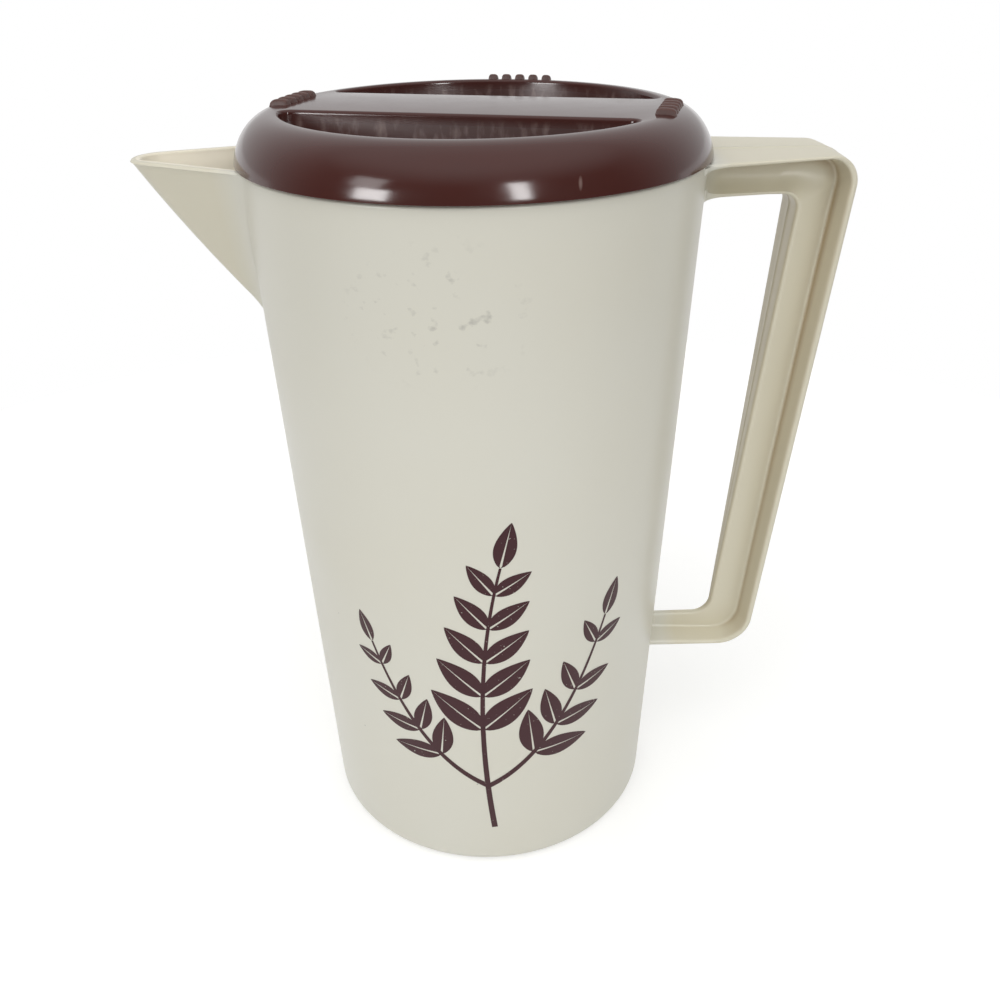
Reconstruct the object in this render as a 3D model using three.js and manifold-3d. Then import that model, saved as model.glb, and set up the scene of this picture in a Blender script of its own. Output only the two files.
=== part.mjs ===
// Lidded pitcher: tapered jug with a V-shaped spout, a loop handle, and a lid that turns and lifts off.
// Millimetres, +Z up. Origin in the middle of the jug's base. The spout points along -X, the handle along +X.
import * as THREE from 'three';
import { ConvexGeometry } from 'three/addons/geometries/ConvexGeometry.js';
import { mergeVertices } from 'three/addons/utils/BufferGeometryUtils.js';
import Module from 'manifold-3d';

// Jug
const JUG_HEIGHT = 215.2;
const RIM_RADIUS = 62.5;
const BASE_RADIUS = 54.9; // the wall's taper carried down to the base plane
const BASE_EDGE_RADIUS = 3.8;
const WALL = 2.4;
const FLOOR = 3;
const FLOOR_EDGE_RADIUS = 3;

// Spout
const SPOUT_REACH = 30; // rim to tip
const SPOUT_DROP = 43.5; // rim plane to the foot of the keel
const SPOUT_BELLY = 1.2; // how far the keel bows out past a straight line, halfway up
const SPOUT_TIP_RADIUS = 8.5;
const SPOUT_HALF_ANGLE = 25; // degrees, each side of the spout's middle
const SPOUT_WALL = 2.9; // measured level, so the slanting wall is as thick as the jug's

// Handle
const HANDLE_TOP_DROP = 0.2; // top face below the rim, so that the lid turns clear of it
const HANDLE_REACH = 40.3; // rim to the outer corner of the grip
const HANDLE_FOOT_HEIGHT = 50.5; // base plane to the underside of the lower arm
const HANDLE_FOOT_REACH = 33.8; // wall to the lower outer corner
const HANDLE_ARM_DEPTH = 11.2; // outer face to inner face of the upper arm
const HANDLE_GRIP_DEPTH = 14; // the same on the grip
const HANDLE_FOOT_DEPTH = 9.3; // the same on the lower arm
const HANDLE_TOP_CORNER = 8;
const HANDLE_FOOT_CORNER = 11;
const HANDLE_INNER_TOP_CORNER = 4;
const HANDLE_INNER_FOOT_CORNER = 6;
const HANDLE_FLANGE = 2.4; // thickness of the outer flange
const HANDLE_LIP = 4; // thickness of the inner lip
const HANDLE_ROOT_WIDTH = 41.5; // outer flange where the upper arm meets the wall
const HANDLE_GRIP_WIDTH = 24.5; // outer flange at the top of the grip
const HANDLE_FOOT_WIDTH = 15.6; // outer flange at the lower arm
const HANDLE_WEB = 9; // web at the top of the grip
const HANDLE_FOOT_WEB = 2.6; // web at the lower arm
const HANDLE_LIP_WIDTH = 15; // inner lip at the top of the grip
const HANDLE_FOOT_LIP_WIDTH = 3; // inner lip at the lower arm

// Lid cap
const LID_TURN = -16; // degrees, from the place where the closed side's mark faces the spout
const LID_OVERHANG = 1.2; // lower edge past the rim
const LID_RING_WIDTH = 11.5; // lower edge to the crest, level
const LID_RING_SINK = 2.8; // middle of the ring's oval section below the lower edge
const LID_CREST_HEIGHT = 11.9; // lower edge to the crest, which the grip bar is level with
const LID_SHELL = 2.4;
const BAR_WIDTH = 34;
const WELL_INSET = 1.4; // crest to the round wall of a finger well
const WELL_DEPTH = 18; // below the top of the bar
const WELL_CORNER_RADIUS = 2.5;

// Raised marks on the lid's ring, one group for each of the three positions
const MARK_ANGLES = [0, 90, 180]; // degrees: pour window, strainer, closed side
const MARK_RIBS = 5;
const MARK_PITCH = 4.2;
const MARK_RIB_WIDTH = 2.6;
const MARK_LENGTH = 5.5; // across the ring
const MARK_INSET = 3.2; // inner end of a mark inside the crest
const MARK_HEIGHT = 1.4;

// Lid collar
const COLLAR_DEPTH = 26; // below the rim
const COLLAR_WALL = 2.2;
const COLLAR_GAP = 0.5; // to the jug's wall at the collar's lower edge
const GROOVE_DROP = 3; // rim to the top of the seal's groove
const GROOVE_HEIGHT = 3;
const GROOVE_DEPTH = 1;
const WINDOW_WIDTH = 26;
const WINDOW_HEIGHT = 15;
const STRAINER_SLOTS = 7;
const STRAINER_SLOT_WIDTH = 2.2;
const STRAINER_PITCH = 4.4;
const STRAINER_HEIGHT = 13;

// Fits and facets
const SEAM = 0.3; // clearance between neighbouring pieces
const OVERCUT = 1; // how far a cutter runs past the face it opens
const ROUND_STEPS = 64; // facets round the jug's axis
const ARC_STEPS = 6; // facets of a corner
const RING_STEPS = 10; // facets of the lid ring's section, and of the spout's tip
const SPOUT_LEVELS = 4; // facets of the spout's keel from foot to tip
const WELL_STEPS = 20; // facets of a well's round wall

// Finishes
const JUG_PLASTIC = { color: 0xd6d2c2, roughness: 0.3, metalness: 0 };
const LID_PLASTIC = { color: 0x4a2b28, roughness: 0.15, metalness: 0 };
const SEAL_RUBBER = { color: 0x9a958c, roughness: 0.7, metalness: 0 };

const wasm = await Module();
wasm.setup();

const radians = THREE.MathUtils.degToRad;
const point = (x, y) => new THREE.Vector2(x, y);
const X = new THREE.Vector3(1, 0, 0);
const Y = new THREE.Vector3(0, 1, 0);
const Z = new THREE.Vector3(0, 0, 1);

// Solid with shared vertices from a closed geometry, less the empty triangles that a lathe has on its axis.
function solid(geometry) {
  geometry.deleteAttribute('normal');
  geometry.deleteAttribute('uv');
  const merged = mergeVertices(geometry);
  const triangles = [];
  for (let i = 0; i < merged.index.count; i += 3) {
    const [a, b, c] = [0, 1, 2].map((k) => merged.index.getX(i + k));
    if (a !== b && b !== c && c !== a) {
      triangles.push(a, b, c);
    }
  }
  return new wasm.Manifold(new wasm.Mesh({
    numProp: 3,
    vertProperties: new Float32Array(merged.attributes.position.array),
    triVerts: new Uint32Array(triangles),
  }));
}

function surface(body) {
  const mesh = body.getMesh();
  const geometry = new THREE.BufferGeometry();
  geometry.setAttribute('position', new THREE.BufferAttribute(mesh.vertProperties, 3));
  geometry.setIndex(new THREE.BufferAttribute(mesh.triVerts, 1));
  geometry.computeVertexNormals();
  return geometry;
}

// Points of an outline given as corners [x, y, radius]. A corner with a radius becomes an arc.
function outline(corners) {
  const towards = (from, to) => point(to[0] - from[0], to[1] - from[1]).normalize();
  return corners.flatMap((corner, i) => {
    const [x, y, radius = 0] = corner;
    if (radius === 0) {
      return [point(x, y)];
    }
    const back = towards(corner, corners.at(i - 1));
    const ahead = towards(corner, corners[(i + 1) % corners.length]);
    const half = Math.acos(back.dot(ahead)) / 2;
    const inward = back.clone().add(ahead).normalize();
    const centre = inward.clone().multiplyScalar(radius / Math.sin(half)).add(point(x, y));
    const turn = Math.sign(back.cross(ahead)) * (Math.PI / 2 - half);
    const middle = inward.angle() + Math.PI;
    return Array.from({ length: ARC_STEPS + 1 }, (_, k) => {
      const angle = middle + turn * (1 - (2 * k) / ARC_STEPS);
      return point(centre.x + radius * Math.cos(angle), centre.y + radius * Math.sin(angle));
    });
  });
}

// Body turned round Z from a profile of (radius, height) points that runs upwards along its outer side.
function turned(profile) {
  return solid(new THREE.LatheGeometry(profile, ROUND_STEPS).rotateX(Math.PI / 2));
}

// Ring turned round Z from a closed profile, given anticlockwise with the radius to the right.
function turnedRing(corners) {
  const profile = outline(corners);
  return turned([...profile, profile[0].clone()]);
}

// Prism of a shape drawn in the plane of two axes, centred on that plane.
function prism(points, across, up, depth) {
  const shape = new THREE.Shape(points);
  const geometry = new THREE.ExtrudeGeometry(shape, { depth, bevelEnabled: false });
  geometry.translate(0, 0, -depth / 2);
  const out = new THREE.Vector3().crossVectors(across, up);
  return solid(geometry.applyMatrix4(new THREE.Matrix4().makeBasis(across, up, out)));
}

// Upright prism between two heights.
function upright(points, low, high) {
  const shape = new THREE.Shape(points);
  const geometry = new THREE.ExtrudeGeometry(shape, { depth: high - low, bevelEnabled: false });
  return solid(geometry.translate(0, 0, low));
}

function block(width, depth, low, high, placing) {
  const geometry = new THREE.BoxGeometry(width, depth, high - low);
  return solid(geometry.translate(0, 0, (low + high) / 2).applyMatrix4(placing));
}

function piece(name, body, finish) {
  const mesh = new THREE.Mesh(surface(body), new THREE.MeshStandardMaterial(finish));
  mesh.name = name;
  return mesh;
}

const join = (bodies) => bodies.reduce((whole, body) => whole.add(body));

// The jug's wall

function wallRadius(height) {
  return BASE_RADIUS + ((RIM_RADIUS - BASE_RADIUS) * height) / JUG_HEIGHT;
}

function boreRadius(height) {
  return wallRadius(height) - WALL;
}

// Body that fills the jug's outer wall, grown outwards by a clearance.
function jugBlank(grow = 0) {
  return turned(outline([
    [0, 0],
    [BASE_RADIUS + grow, 0, BASE_EDGE_RADIUS],
    [RIM_RADIUS + grow, JUG_HEIGHT],
    [0, JUG_HEIGHT],
  ]));
}

function jugBore() {
  const top = JUG_HEIGHT + OVERCUT;
  return turned(outline([
    [0, FLOOR],
    [boreRadius(FLOOR), FLOOR, FLOOR_EDGE_RADIUS],
    [boreRadius(top), top],
    [0, top],
  ]));
}

// The spout is a cone on a rounded V: slightly bowed lines run from its edge in the rim plane to a point in
// the wall at the keel's foot. The inset makes the channel in it, and the overcut takes that past the rim.
function spoutCone(inset, overcut) {
  const footHeight = JUG_HEIGHT - SPOUT_DROP;
  const tip = RIM_RADIUS + SPOUT_REACH;
  const foot = wallRadius(footHeight);
  const past = WALL / 2 / (tip - foot);
  const apex = new THREE.Vector3(-foot + WALL / 2 + inset, 0, footHeight - past * SPOUT_DROP);

  const slope = radians(SPOUT_HALF_ANGLE);
  const tipCentre = tip - SPOUT_TIP_RADIUS;
  const tipRadius = SPOUT_TIP_RADIUS - inset;
  const root = tipCentre - SPOUT_REACH - SPOUT_TIP_RADIUS;
  const rootHalf = tipRadius / Math.cos(slope) + (tipCentre - root) * Math.tan(slope);
  const edge = [point(-root, rootHalf), point(-root, -rootHalf)];
  for (let k = 0; k <= RING_STEPS; k += 1) {
    const angle = Math.PI / 2 + slope + ((Math.PI - 2 * slope) * k) / RING_STEPS;
    edge.push(point(tipRadius * Math.cos(angle) - tipCentre, tipRadius * Math.sin(angle)));
  }

  const rise = JUG_HEIGHT - apex.z;
  const level = (height) => {
    const share = height / rise;
    const bow = 4 * SPOUT_BELLY * share * (1 - share);
    return edge.map(({ x, y }) => {
      const along = new THREE.Vector3(x, y, JUG_HEIGHT).sub(apex).multiplyScalar(share).add(apex);
      return along.add(new THREE.Vector3(-bow, 0, 0));
    });
  };
  const levels = Array.from({ length: SPOUT_LEVELS }, (_, k) => level((rise * (k + 1)) / SPOUT_LEVELS));
  return solid(new ConvexGeometry([apex, ...levels.flat(), ...level(rise + overcut)]));
}

function jugBody() {
  const outside = jugBlank().add(spoutCone(0, 0));
  const inside = jugBore().add(spoutCone(SPOUT_WALL, OVERCUT));
  return outside.subtract(inside);
}

// The handle's loop, seen from the side as corners in X and Z. The jug cuts off its two ends.

const handleTop = JUG_HEIGHT - HANDLE_TOP_DROP;
const handleCorner = RIM_RADIUS + HANDLE_REACH;
const handleFootCorner = wallRadius(HANDLE_FOOT_HEIGHT) + HANDLE_FOOT_REACH;
const gripLean = (handleCorner - handleFootCorner) / (handleTop - HANDLE_FOOT_HEIGHT);

// The loop's outer line moved inwards by a depth on each of its three runs.
function handleLine(armDepth, gripDepth, footDepth, topRadius, footRadius) {
  const top = handleTop - armDepth;
  const foot = HANDLE_FOOT_HEIGHT + footDepth;
  const gripAt = (height) => handleFootCorner - gripDepth + gripLean * (height - HANDLE_FOOT_HEIGHT);
  return [
    [0, top],
    [gripAt(top), top, topRadius],
    [gripAt(foot), foot, footRadius],
    [0, foot],
  ];
}

// Band between two such lines, as one closed outline.
function handleBand(outer, inner) {
  return outline([...outer, ...inner.toReversed()]);
}

const outerLine = handleLine(0, 0, 0, HANDLE_TOP_CORNER, HANDLE_FOOT_CORNER);
const innerLine = handleLine(
  HANDLE_ARM_DEPTH,
  HANDLE_GRIP_DEPTH,
  HANDLE_FOOT_DEPTH,
  HANDLE_INNER_TOP_CORNER,
  HANDLE_INNER_FOOT_CORNER,
);

// Prism across the jug that widens from the foot to the top of the grip, then opens for the upper arm.
function risingWidth(footWidth, gripWidth, armWidth) {
  const bend = handleTop - HANDLE_TOP_CORNER;
  const side = [
    [footWidth / 2, HANDLE_FOOT_HEIGHT - OVERCUT],
    [gripWidth / 2, bend],
    [armWidth / 2, handleTop + OVERCUT],
  ];
  const points = [
    ...side.map(([y, z]) => point(y, z)),
    ...side.toReversed().map(([y, z]) => point(-y, z)),
  ];
  return prism(points, Y, Z, 2 * (handleCorner + OVERCUT));
}

function handleFlange() {
  const inside = handleLine(
    HANDLE_FLANGE,
    HANDLE_FLANGE,
    HANDLE_FLANGE,
    HANDLE_TOP_CORNER - HANDLE_FLANGE,
    HANDLE_FOOT_CORNER - HANDLE_FLANGE,
  );
  const band = prism(handleBand(outerLine, inside), X, Z, HANDLE_ROOT_WIDTH);
  const taper = (HANDLE_ROOT_WIDTH - HANDLE_GRIP_WIDTH) / 2 / HANDLE_REACH;
  const far = handleCorner + OVERCUT;
  const halfAt = (x) => HANDLE_GRIP_WIDTH / 2 + taper * (handleCorner - x);
  const plan = upright(
    [point(0, -halfAt(0)), point(far, -halfAt(far)), point(far, halfAt(far)), point(0, halfAt(0))],
    0,
    JUG_HEIGHT,
  );
  return band.intersect(risingWidth(HANDLE_FOOT_WIDTH, HANDLE_GRIP_WIDTH, HANDLE_ROOT_WIDTH)).intersect(plan);
}

function handleLip() {
  const outside = handleLine(
    HANDLE_ARM_DEPTH - HANDLE_LIP,
    HANDLE_GRIP_DEPTH - HANDLE_LIP,
    HANDLE_FOOT_DEPTH - HANDLE_LIP,
    HANDLE_INNER_TOP_CORNER + HANDLE_LIP,
    HANDLE_INNER_FOOT_CORNER + HANDLE_LIP,
  );
  const band = prism(handleBand(outside, innerLine), X, Z, HANDLE_LIP_WIDTH);
  return band.intersect(risingWidth(HANDLE_FOOT_LIP_WIDTH, HANDLE_LIP_WIDTH, HANDLE_LIP_WIDTH));
}

function handleWeb() {
  const band = prism(handleBand(outerLine, innerLine), X, Z, HANDLE_WEB);
  return band.intersect(risingWidth(HANDLE_FOOT_WEB, HANDLE_WEB, HANDLE_WEB));
}

function handleBody() {
  return join([handleWeb(), handleFlange(), handleLip()]).subtract(jugBlank(SEAM));
}

// The lid's cap, in the lid's own frame: the grip bar lies along X.

const lidEdge = JUG_HEIGHT + SEAM;
const lidCrest = lidEdge + LID_CREST_HEIGHT;
const lidEdgeRadius = RIM_RADIUS + LID_OVERHANG;
const crestRadius = lidEdgeRadius - LID_RING_WIDTH;

// Oval that the ring's section follows: its middle height and half axes.
const ringMiddle = lidEdge - LID_RING_SINK;
const ringRise = LID_CREST_HEIGHT + LID_RING_SINK;
const ringRun = LID_RING_WIDTH / Math.sqrt(1 - (LID_RING_SINK / ringRise) ** 2);

// Rounded outer section of the ring from its lower edge to its crest, moved outwards by an amount.
function ringSection(grow) {
  const [run, rise] = [ringRun + grow, ringRise + grow];
  const start = Math.asin(LID_RING_SINK / rise);
  return new THREE.EllipseCurve(crestRadius, ringMiddle, run, rise, start, Math.PI / 2).getPoints(RING_STEPS);
}

// Height of the hollow under the cap at a radius: flat inside the crest, rounded under the ring.
function capCeiling(radius) {
  const across = Math.max(0, radius - crestRadius) / (ringRun - LID_SHELL);
  return ringMiddle + (ringRise - LID_SHELL) * Math.sqrt(1 - across * across);
}

// Outline of a half-moon finger well on the +Y side of the bar, grown outwards by an amount.
function wellOutline(grow) {
  const radius = crestRadius - WELL_INSET + grow;
  const side = BAR_WIDTH / 2 - grow;
  const corner = WELL_CORNER_RADIUS + grow;
  const cornerX = Math.sqrt((radius - corner) ** 2 - (side + corner) ** 2);
  const meet = Math.atan2(side + corner, cornerX);
  const arc = (x, y, size, from, to, steps) => {
    return new THREE.EllipseCurve(x, y, size, size, from, to).getPoints(steps);
  };
  return [
    ...arc(cornerX, side + corner, corner, -Math.PI / 2, meet, ARC_STEPS),
    ...arc(0, 0, radius, meet, Math.PI - meet, WELL_STEPS).slice(1, -1),
    ...arc(-cornerX, side + corner, corner, Math.PI - meet, (3 * Math.PI) / 2, ARC_STEPS),
  ];
}

// Both wells, one on each side of the bar.
function wells(grow, low, high) {
  const points = wellOutline(grow);
  const opposite = points.map(({ x, y }) => point(-x, -y));
  return upright(points, low, high).add(upright(opposite, low, high));
}

// Place at a radius, shifted along the ring, turned round the axis from the lid's +X side.
function onRing(radius, along, degrees) {
  return new THREE.Matrix4().makeRotationZ(radians(degrees)).multiply(
    new THREE.Matrix4().makeTranslation(radius, along, 0),
  );
}

// Offsets of a row of equal steps about its middle.
function row(count, pitch) {
  return Array.from({ length: count }, (_, k) => (k - (count - 1) / 2) * pitch);
}

function raisedMarks() {
  const low = lidCrest - LID_SHELL / 2;
  const high = lidCrest + MARK_HEIGHT;
  const over = turned([point(0, lidEdge), ...ringSection(MARK_HEIGHT), point(0, high)]);
  const ribs = MARK_ANGLES.flatMap((degrees) => row(MARK_RIBS, MARK_PITCH).map((along) => {
    const placing = onRing(crestRadius - MARK_INSET + MARK_LENGTH / 2, along, degrees);
    return block(MARK_LENGTH, MARK_RIB_WIDTH, low, high + OVERCUT, placing);
  }));
  return join(ribs).intersect(over);
}

function lidCap() {
  const blank = turned([point(0, lidEdge), ...ringSection(0), point(0, lidCrest)]);
  const hollow = turned([
    point(0, lidEdge - OVERCUT),
    point(lidEdgeRadius - LID_SHELL, lidEdge - OVERCUT),
    ...ringSection(-LID_SHELL),
    point(0, lidCrest - LID_SHELL),
  ]);
  const wellFloor = lidCrest - WELL_DEPTH;
  const cups = wells(LID_SHELL, wellFloor - LID_SHELL, lidCrest - LID_SHELL / 2);
  const openings = wells(0, wellFloor, lidCrest + MARK_HEIGHT + OVERCUT);
  return blank.subtract(hollow).add(cups).add(raisedMarks()).subtract(openings);
}

// The collar hangs from the cap in the jug's mouth. Openings run up from its lower edge under their marks.

const collarLow = JUG_HEIGHT - COLLAR_DEPTH;
const collarRadius = boreRadius(collarLow) - COLLAR_GAP;
const grooveTop = JUG_HEIGHT - GROOVE_DROP;
const grooveLow = grooveTop - GROOVE_HEIGHT;
const grooveRadius = collarRadius - GROOVE_DEPTH;

function lidCollar() {
  const inner = collarRadius - COLLAR_WALL;
  const top = capCeiling(collarRadius) - SEAM;
  const tube = turnedRing([
    [inner, collarLow],
    [collarRadius, collarLow],
    [collarRadius, grooveLow],
    [grooveRadius, grooveLow],
    [grooveRadius, grooveTop],
    [collarRadius, grooveTop],
    [collarRadius, top],
    [inner, top],
  ]);
  const [windowAngle, strainerAngle] = MARK_ANGLES;
  const reach = collarRadius + OVERCUT;
  const cutter = (width, height, along, degrees) => {
    const placing = onRing(reach / 2, along, degrees);
    return block(reach, width, collarLow - OVERCUT, collarLow + height, placing);
  };
  const window = cutter(WINDOW_WIDTH, WINDOW_HEIGHT, 0, windowAngle);
  const slots = row(STRAINER_SLOTS, STRAINER_PITCH).map((along) => {
    return cutter(STRAINER_SLOT_WIDTH, STRAINER_HEIGHT, along, strainerAngle);
  });
  return tube.subtract(join([window, ...slots]));
}

function lidSeal() {
  const low = grooveLow + SEAM;
  const high = grooveTop - SEAM;
  const inner = grooveRadius + SEAM;
  const outer = boreRadius(low) - SEAM;
  return turnedRing([[inner, low], [outer, low], [outer, high], [inner, high]]);
}

const lid = new THREE.Group();
lid.rotation.z = radians(LID_TURN);
lid.add(piece('lid_cap', lidCap(), LID_PLASTIC));
lid.add(piece('lid_collar', lidCollar(), LID_PLASTIC));

const pitcher = new THREE.Group();
pitcher.add(piece('jug_body', jugBody(), JUG_PLASTIC));
pitcher.add(piece('handle', handleBody(), JUG_PLASTIC));
pitcher.add(piece('lid_seal', lidSeal(), SEAL_RUBBER));
pitcher.add(lid);

export default pitcher;
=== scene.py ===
"""Moulded pitcher with a turning lid: fine surfaces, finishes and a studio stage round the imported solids.

Laid out as an add-on and run as a script. Lengths are in metres, in the frame of the solids: the jug stands
on the origin, the spout points along -X and the handle along +X.
"""

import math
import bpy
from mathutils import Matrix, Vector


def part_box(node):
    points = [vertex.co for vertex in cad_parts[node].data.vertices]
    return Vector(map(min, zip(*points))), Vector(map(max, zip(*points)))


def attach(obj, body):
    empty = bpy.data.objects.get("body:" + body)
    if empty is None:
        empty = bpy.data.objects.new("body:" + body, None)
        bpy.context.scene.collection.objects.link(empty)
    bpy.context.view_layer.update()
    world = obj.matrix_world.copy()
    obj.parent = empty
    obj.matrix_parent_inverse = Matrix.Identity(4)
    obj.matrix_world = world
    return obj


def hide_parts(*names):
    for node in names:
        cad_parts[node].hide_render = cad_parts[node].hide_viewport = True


bl_info = {
    "name": "Lidded Pitcher",
    "version": (1, 0, 0),
    "blender": (4, 5, 0),
    "location": "View3D > Sidebar > Pitcher",
    "description": "Moulded pitcher with a turning lid, dressed and staged round its solids",
    "category": "Object",
}

from functools import partial

import bmesh
import bpy
import numpy as np
from bpy.props import FloatProperty, FloatVectorProperty, IntProperty, PointerProperty
from bpy.types import Operator, Panel, PropertyGroup
from mathutils import Matrix, Vector
from mathutils.geometry import delaunay_2d_cdt

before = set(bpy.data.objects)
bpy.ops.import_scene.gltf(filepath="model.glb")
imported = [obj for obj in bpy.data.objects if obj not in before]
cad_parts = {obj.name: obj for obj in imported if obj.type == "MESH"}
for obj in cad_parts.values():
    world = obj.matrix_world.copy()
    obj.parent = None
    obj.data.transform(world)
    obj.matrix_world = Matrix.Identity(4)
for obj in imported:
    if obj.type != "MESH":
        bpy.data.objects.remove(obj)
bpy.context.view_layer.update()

# Sizes that the solids give

MM = 0.001
JUG_LOW, JUG_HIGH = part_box("jug_body")
HANDLE_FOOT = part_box("handle")[0].z
COLLAR_LOW, COLLAR_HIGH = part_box("lid_collar")
SEAL_LOW, SEAL_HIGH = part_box("lid_seal")

RIM_HEIGHT = JUG_HIGH.z
RIM_RADIUS = JUG_HIGH.y
SPOUT_TIP = -JUG_LOW.x
COLLAR_RADIUS = COLLAR_HIGH.y
SEAL_RADIUS = SEAL_HIGH.y

# How finely surfaces are cut

ROUND_STEPS = 256
SPOUT_STEPS = 200
WALL_STEPS = 220
BEND_STEPS = 14
HANDLE_STEPS = (70, BEND_STEPS, 50, BEND_STEPS, 60)
STEM_STEPS = 40
WELD = 1e-6
SHARP_EDGE = math.radians(38)


def linear(code):
    """Linear colour with alpha from an sRGB hex value."""
    parts = [int(code[i:i + 2], 16) / 255 for i in (1, 3, 5)]
    return tuple(p / 12.92 if p <= 0.04045 else ((p + 0.055) / 1.055) ** 2.4 for p in parts) + (1.0,)


def length(name, millimetres, description):
    """Length property whose default is given in millimetres."""
    return FloatProperty(
        name=name, description=description, default=millimetres * MM, unit="LENGTH", precision=5
    )


def turn(name, degrees, description):
    """Angle property whose default is given in degrees."""
    return FloatProperty(name=name, description=description, default=math.radians(degrees), subtype="ANGLE")


def share(name, default, description):
    """Plain number from 0 to 1."""
    return FloatProperty(
        name=name, description=description, default=default, min=0.0, max=1.0, subtype="FACTOR"
    )


def level_of(name, default, description):
    """Level of light, where 1 is a white surface."""
    return FloatProperty(name=name, description=description, default=default, min=0.0)


def colour(name, code, description):
    """Colour property whose default is an sRGB hex value."""
    return FloatVectorProperty(
        name=name, description=description, default=linear(code), size=4, subtype="COLOR"
    )


class JugSizes(PropertyGroup):
    """Sizes of the jug's wall, base and spout."""

    base_radius: length("Base radius", 54.9, "The wall's taper carried down to the base plane")
    wall: length("Wall", 2.4, "Thickness of the wall")
    floor: length("Floor", 3.0, "Thickness of the floor")
    base_round: length("Base edge", 3.8, "Radius of the edge round the base")
    floor_round: length("Floor edge", 3.0, "Radius where the floor meets the wall inside")
    rim_round: length("Rim edge", 0.9, "Radius of the rim's two edges")
    foot_width: length("Foot", 5.0, "Width of the flat ring that the jug stands on")
    foot_recess: length("Recess", 0.8, "Depth of the recess inside that ring")
    gate_radius: length("Gate", 3.2, "Radius of the moulding gate's button in the recess")
    spout_drop: length("Spout drop", 43.5, "Rim to the foot of the spout's keel")
    spout_belly: length("Spout belly", 1.2, "How far the keel bows out halfway up")
    spout_tip: length("Spout tip", 8.5, "Radius of the spout's tip, seen from above")
    spout_wall: length("Spout wall", 2.9, "Thickness of the spout, measured level")
    spout_slope: turn("Spout slope", 25.0, "Angle of each side of the spout to its middle")
    spout_blend: length("Spout blend", 4.5, "Width over which the spout runs into the wall")
    spout_lift: length("Spout lift", 0.45, "How far the rim rises to the spout's tip")


class HandleSizes(PropertyGroup):
    """Sizes of the loop handle: a broad outer flange, and a web that spreads towards the fingers."""

    top: length("Top", 215.1, "Base to the top face of the upper arm")
    reach: length("Reach", 40.3, "Rim to the outer corner of the grip")
    foot_reach: length("Foot reach", 33.8, "Wall to the lower outer corner")
    arm_depth: length("Arm depth", 11.2, "Outer to inner face of the upper arm")
    grip_depth: length("Grip depth", 14.0, "Outer to inner face of the grip")
    foot_depth: length("Foot depth", 9.3, "Outer to inner face of the lower arm")
    top_corner: length("Top corner", 8.0, "Outer radius at the top of the grip")
    foot_corner: length("Foot corner", 11.0, "Outer radius at the foot of the grip")
    inner_top_corner: length("Inner top corner", 4.0, "Inner radius at the top of the grip")
    inner_foot_corner: length("Inner foot corner", 6.0, "Inner radius at the foot of the grip")
    arm_flange: length("Arm flange", 1.1, "Thickness of the flange's edge on the upper arm")
    flange: length("Grip flange", 2.3, "Thickness of the flange's edge on the grip and the lower arm")
    crown: length("Crown", 0.28, "How far the flange's edges fall behind its middle")
    slope: length("Slope", 0.9, "How much thicker the flange grows from its edge to the web")
    fillet: length("Fillet", 1.0, "Radius where the web meets the flange")
    lip_round: length("Lip edge", 1.1, "Radius of the edges round the inner face")
    flash: length("Flash", 0.12, "Height of the parting line that the mould's halves leave")
    root_run: length("Root run", 5.5, "Distance over which the arms swell towards the wall")
    root_swell: length("Root swell", 1.7, "How far they swell")
    root_width: length("Root width", 41.5, "Flange where the upper arm meets the wall")
    grip_width: length("Grip width", 24.5, "Flange at the top of the grip")
    foot_width: length("Foot width", 15.6, "Flange on the lower arm")
    lip_width: length("Lip width", 15.0, "Inner face at the top of the grip")
    arm_lip_width: length("Arm lip width", 22.0, "Inner face where the upper arm meets the wall")
    foot_lip_width: length("Foot lip width", 2.4, "Inner face on the lower arm")
    waist: share("Waist", 0.4, "Web's thickness at the flange, as a share of the inner face's width")


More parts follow.
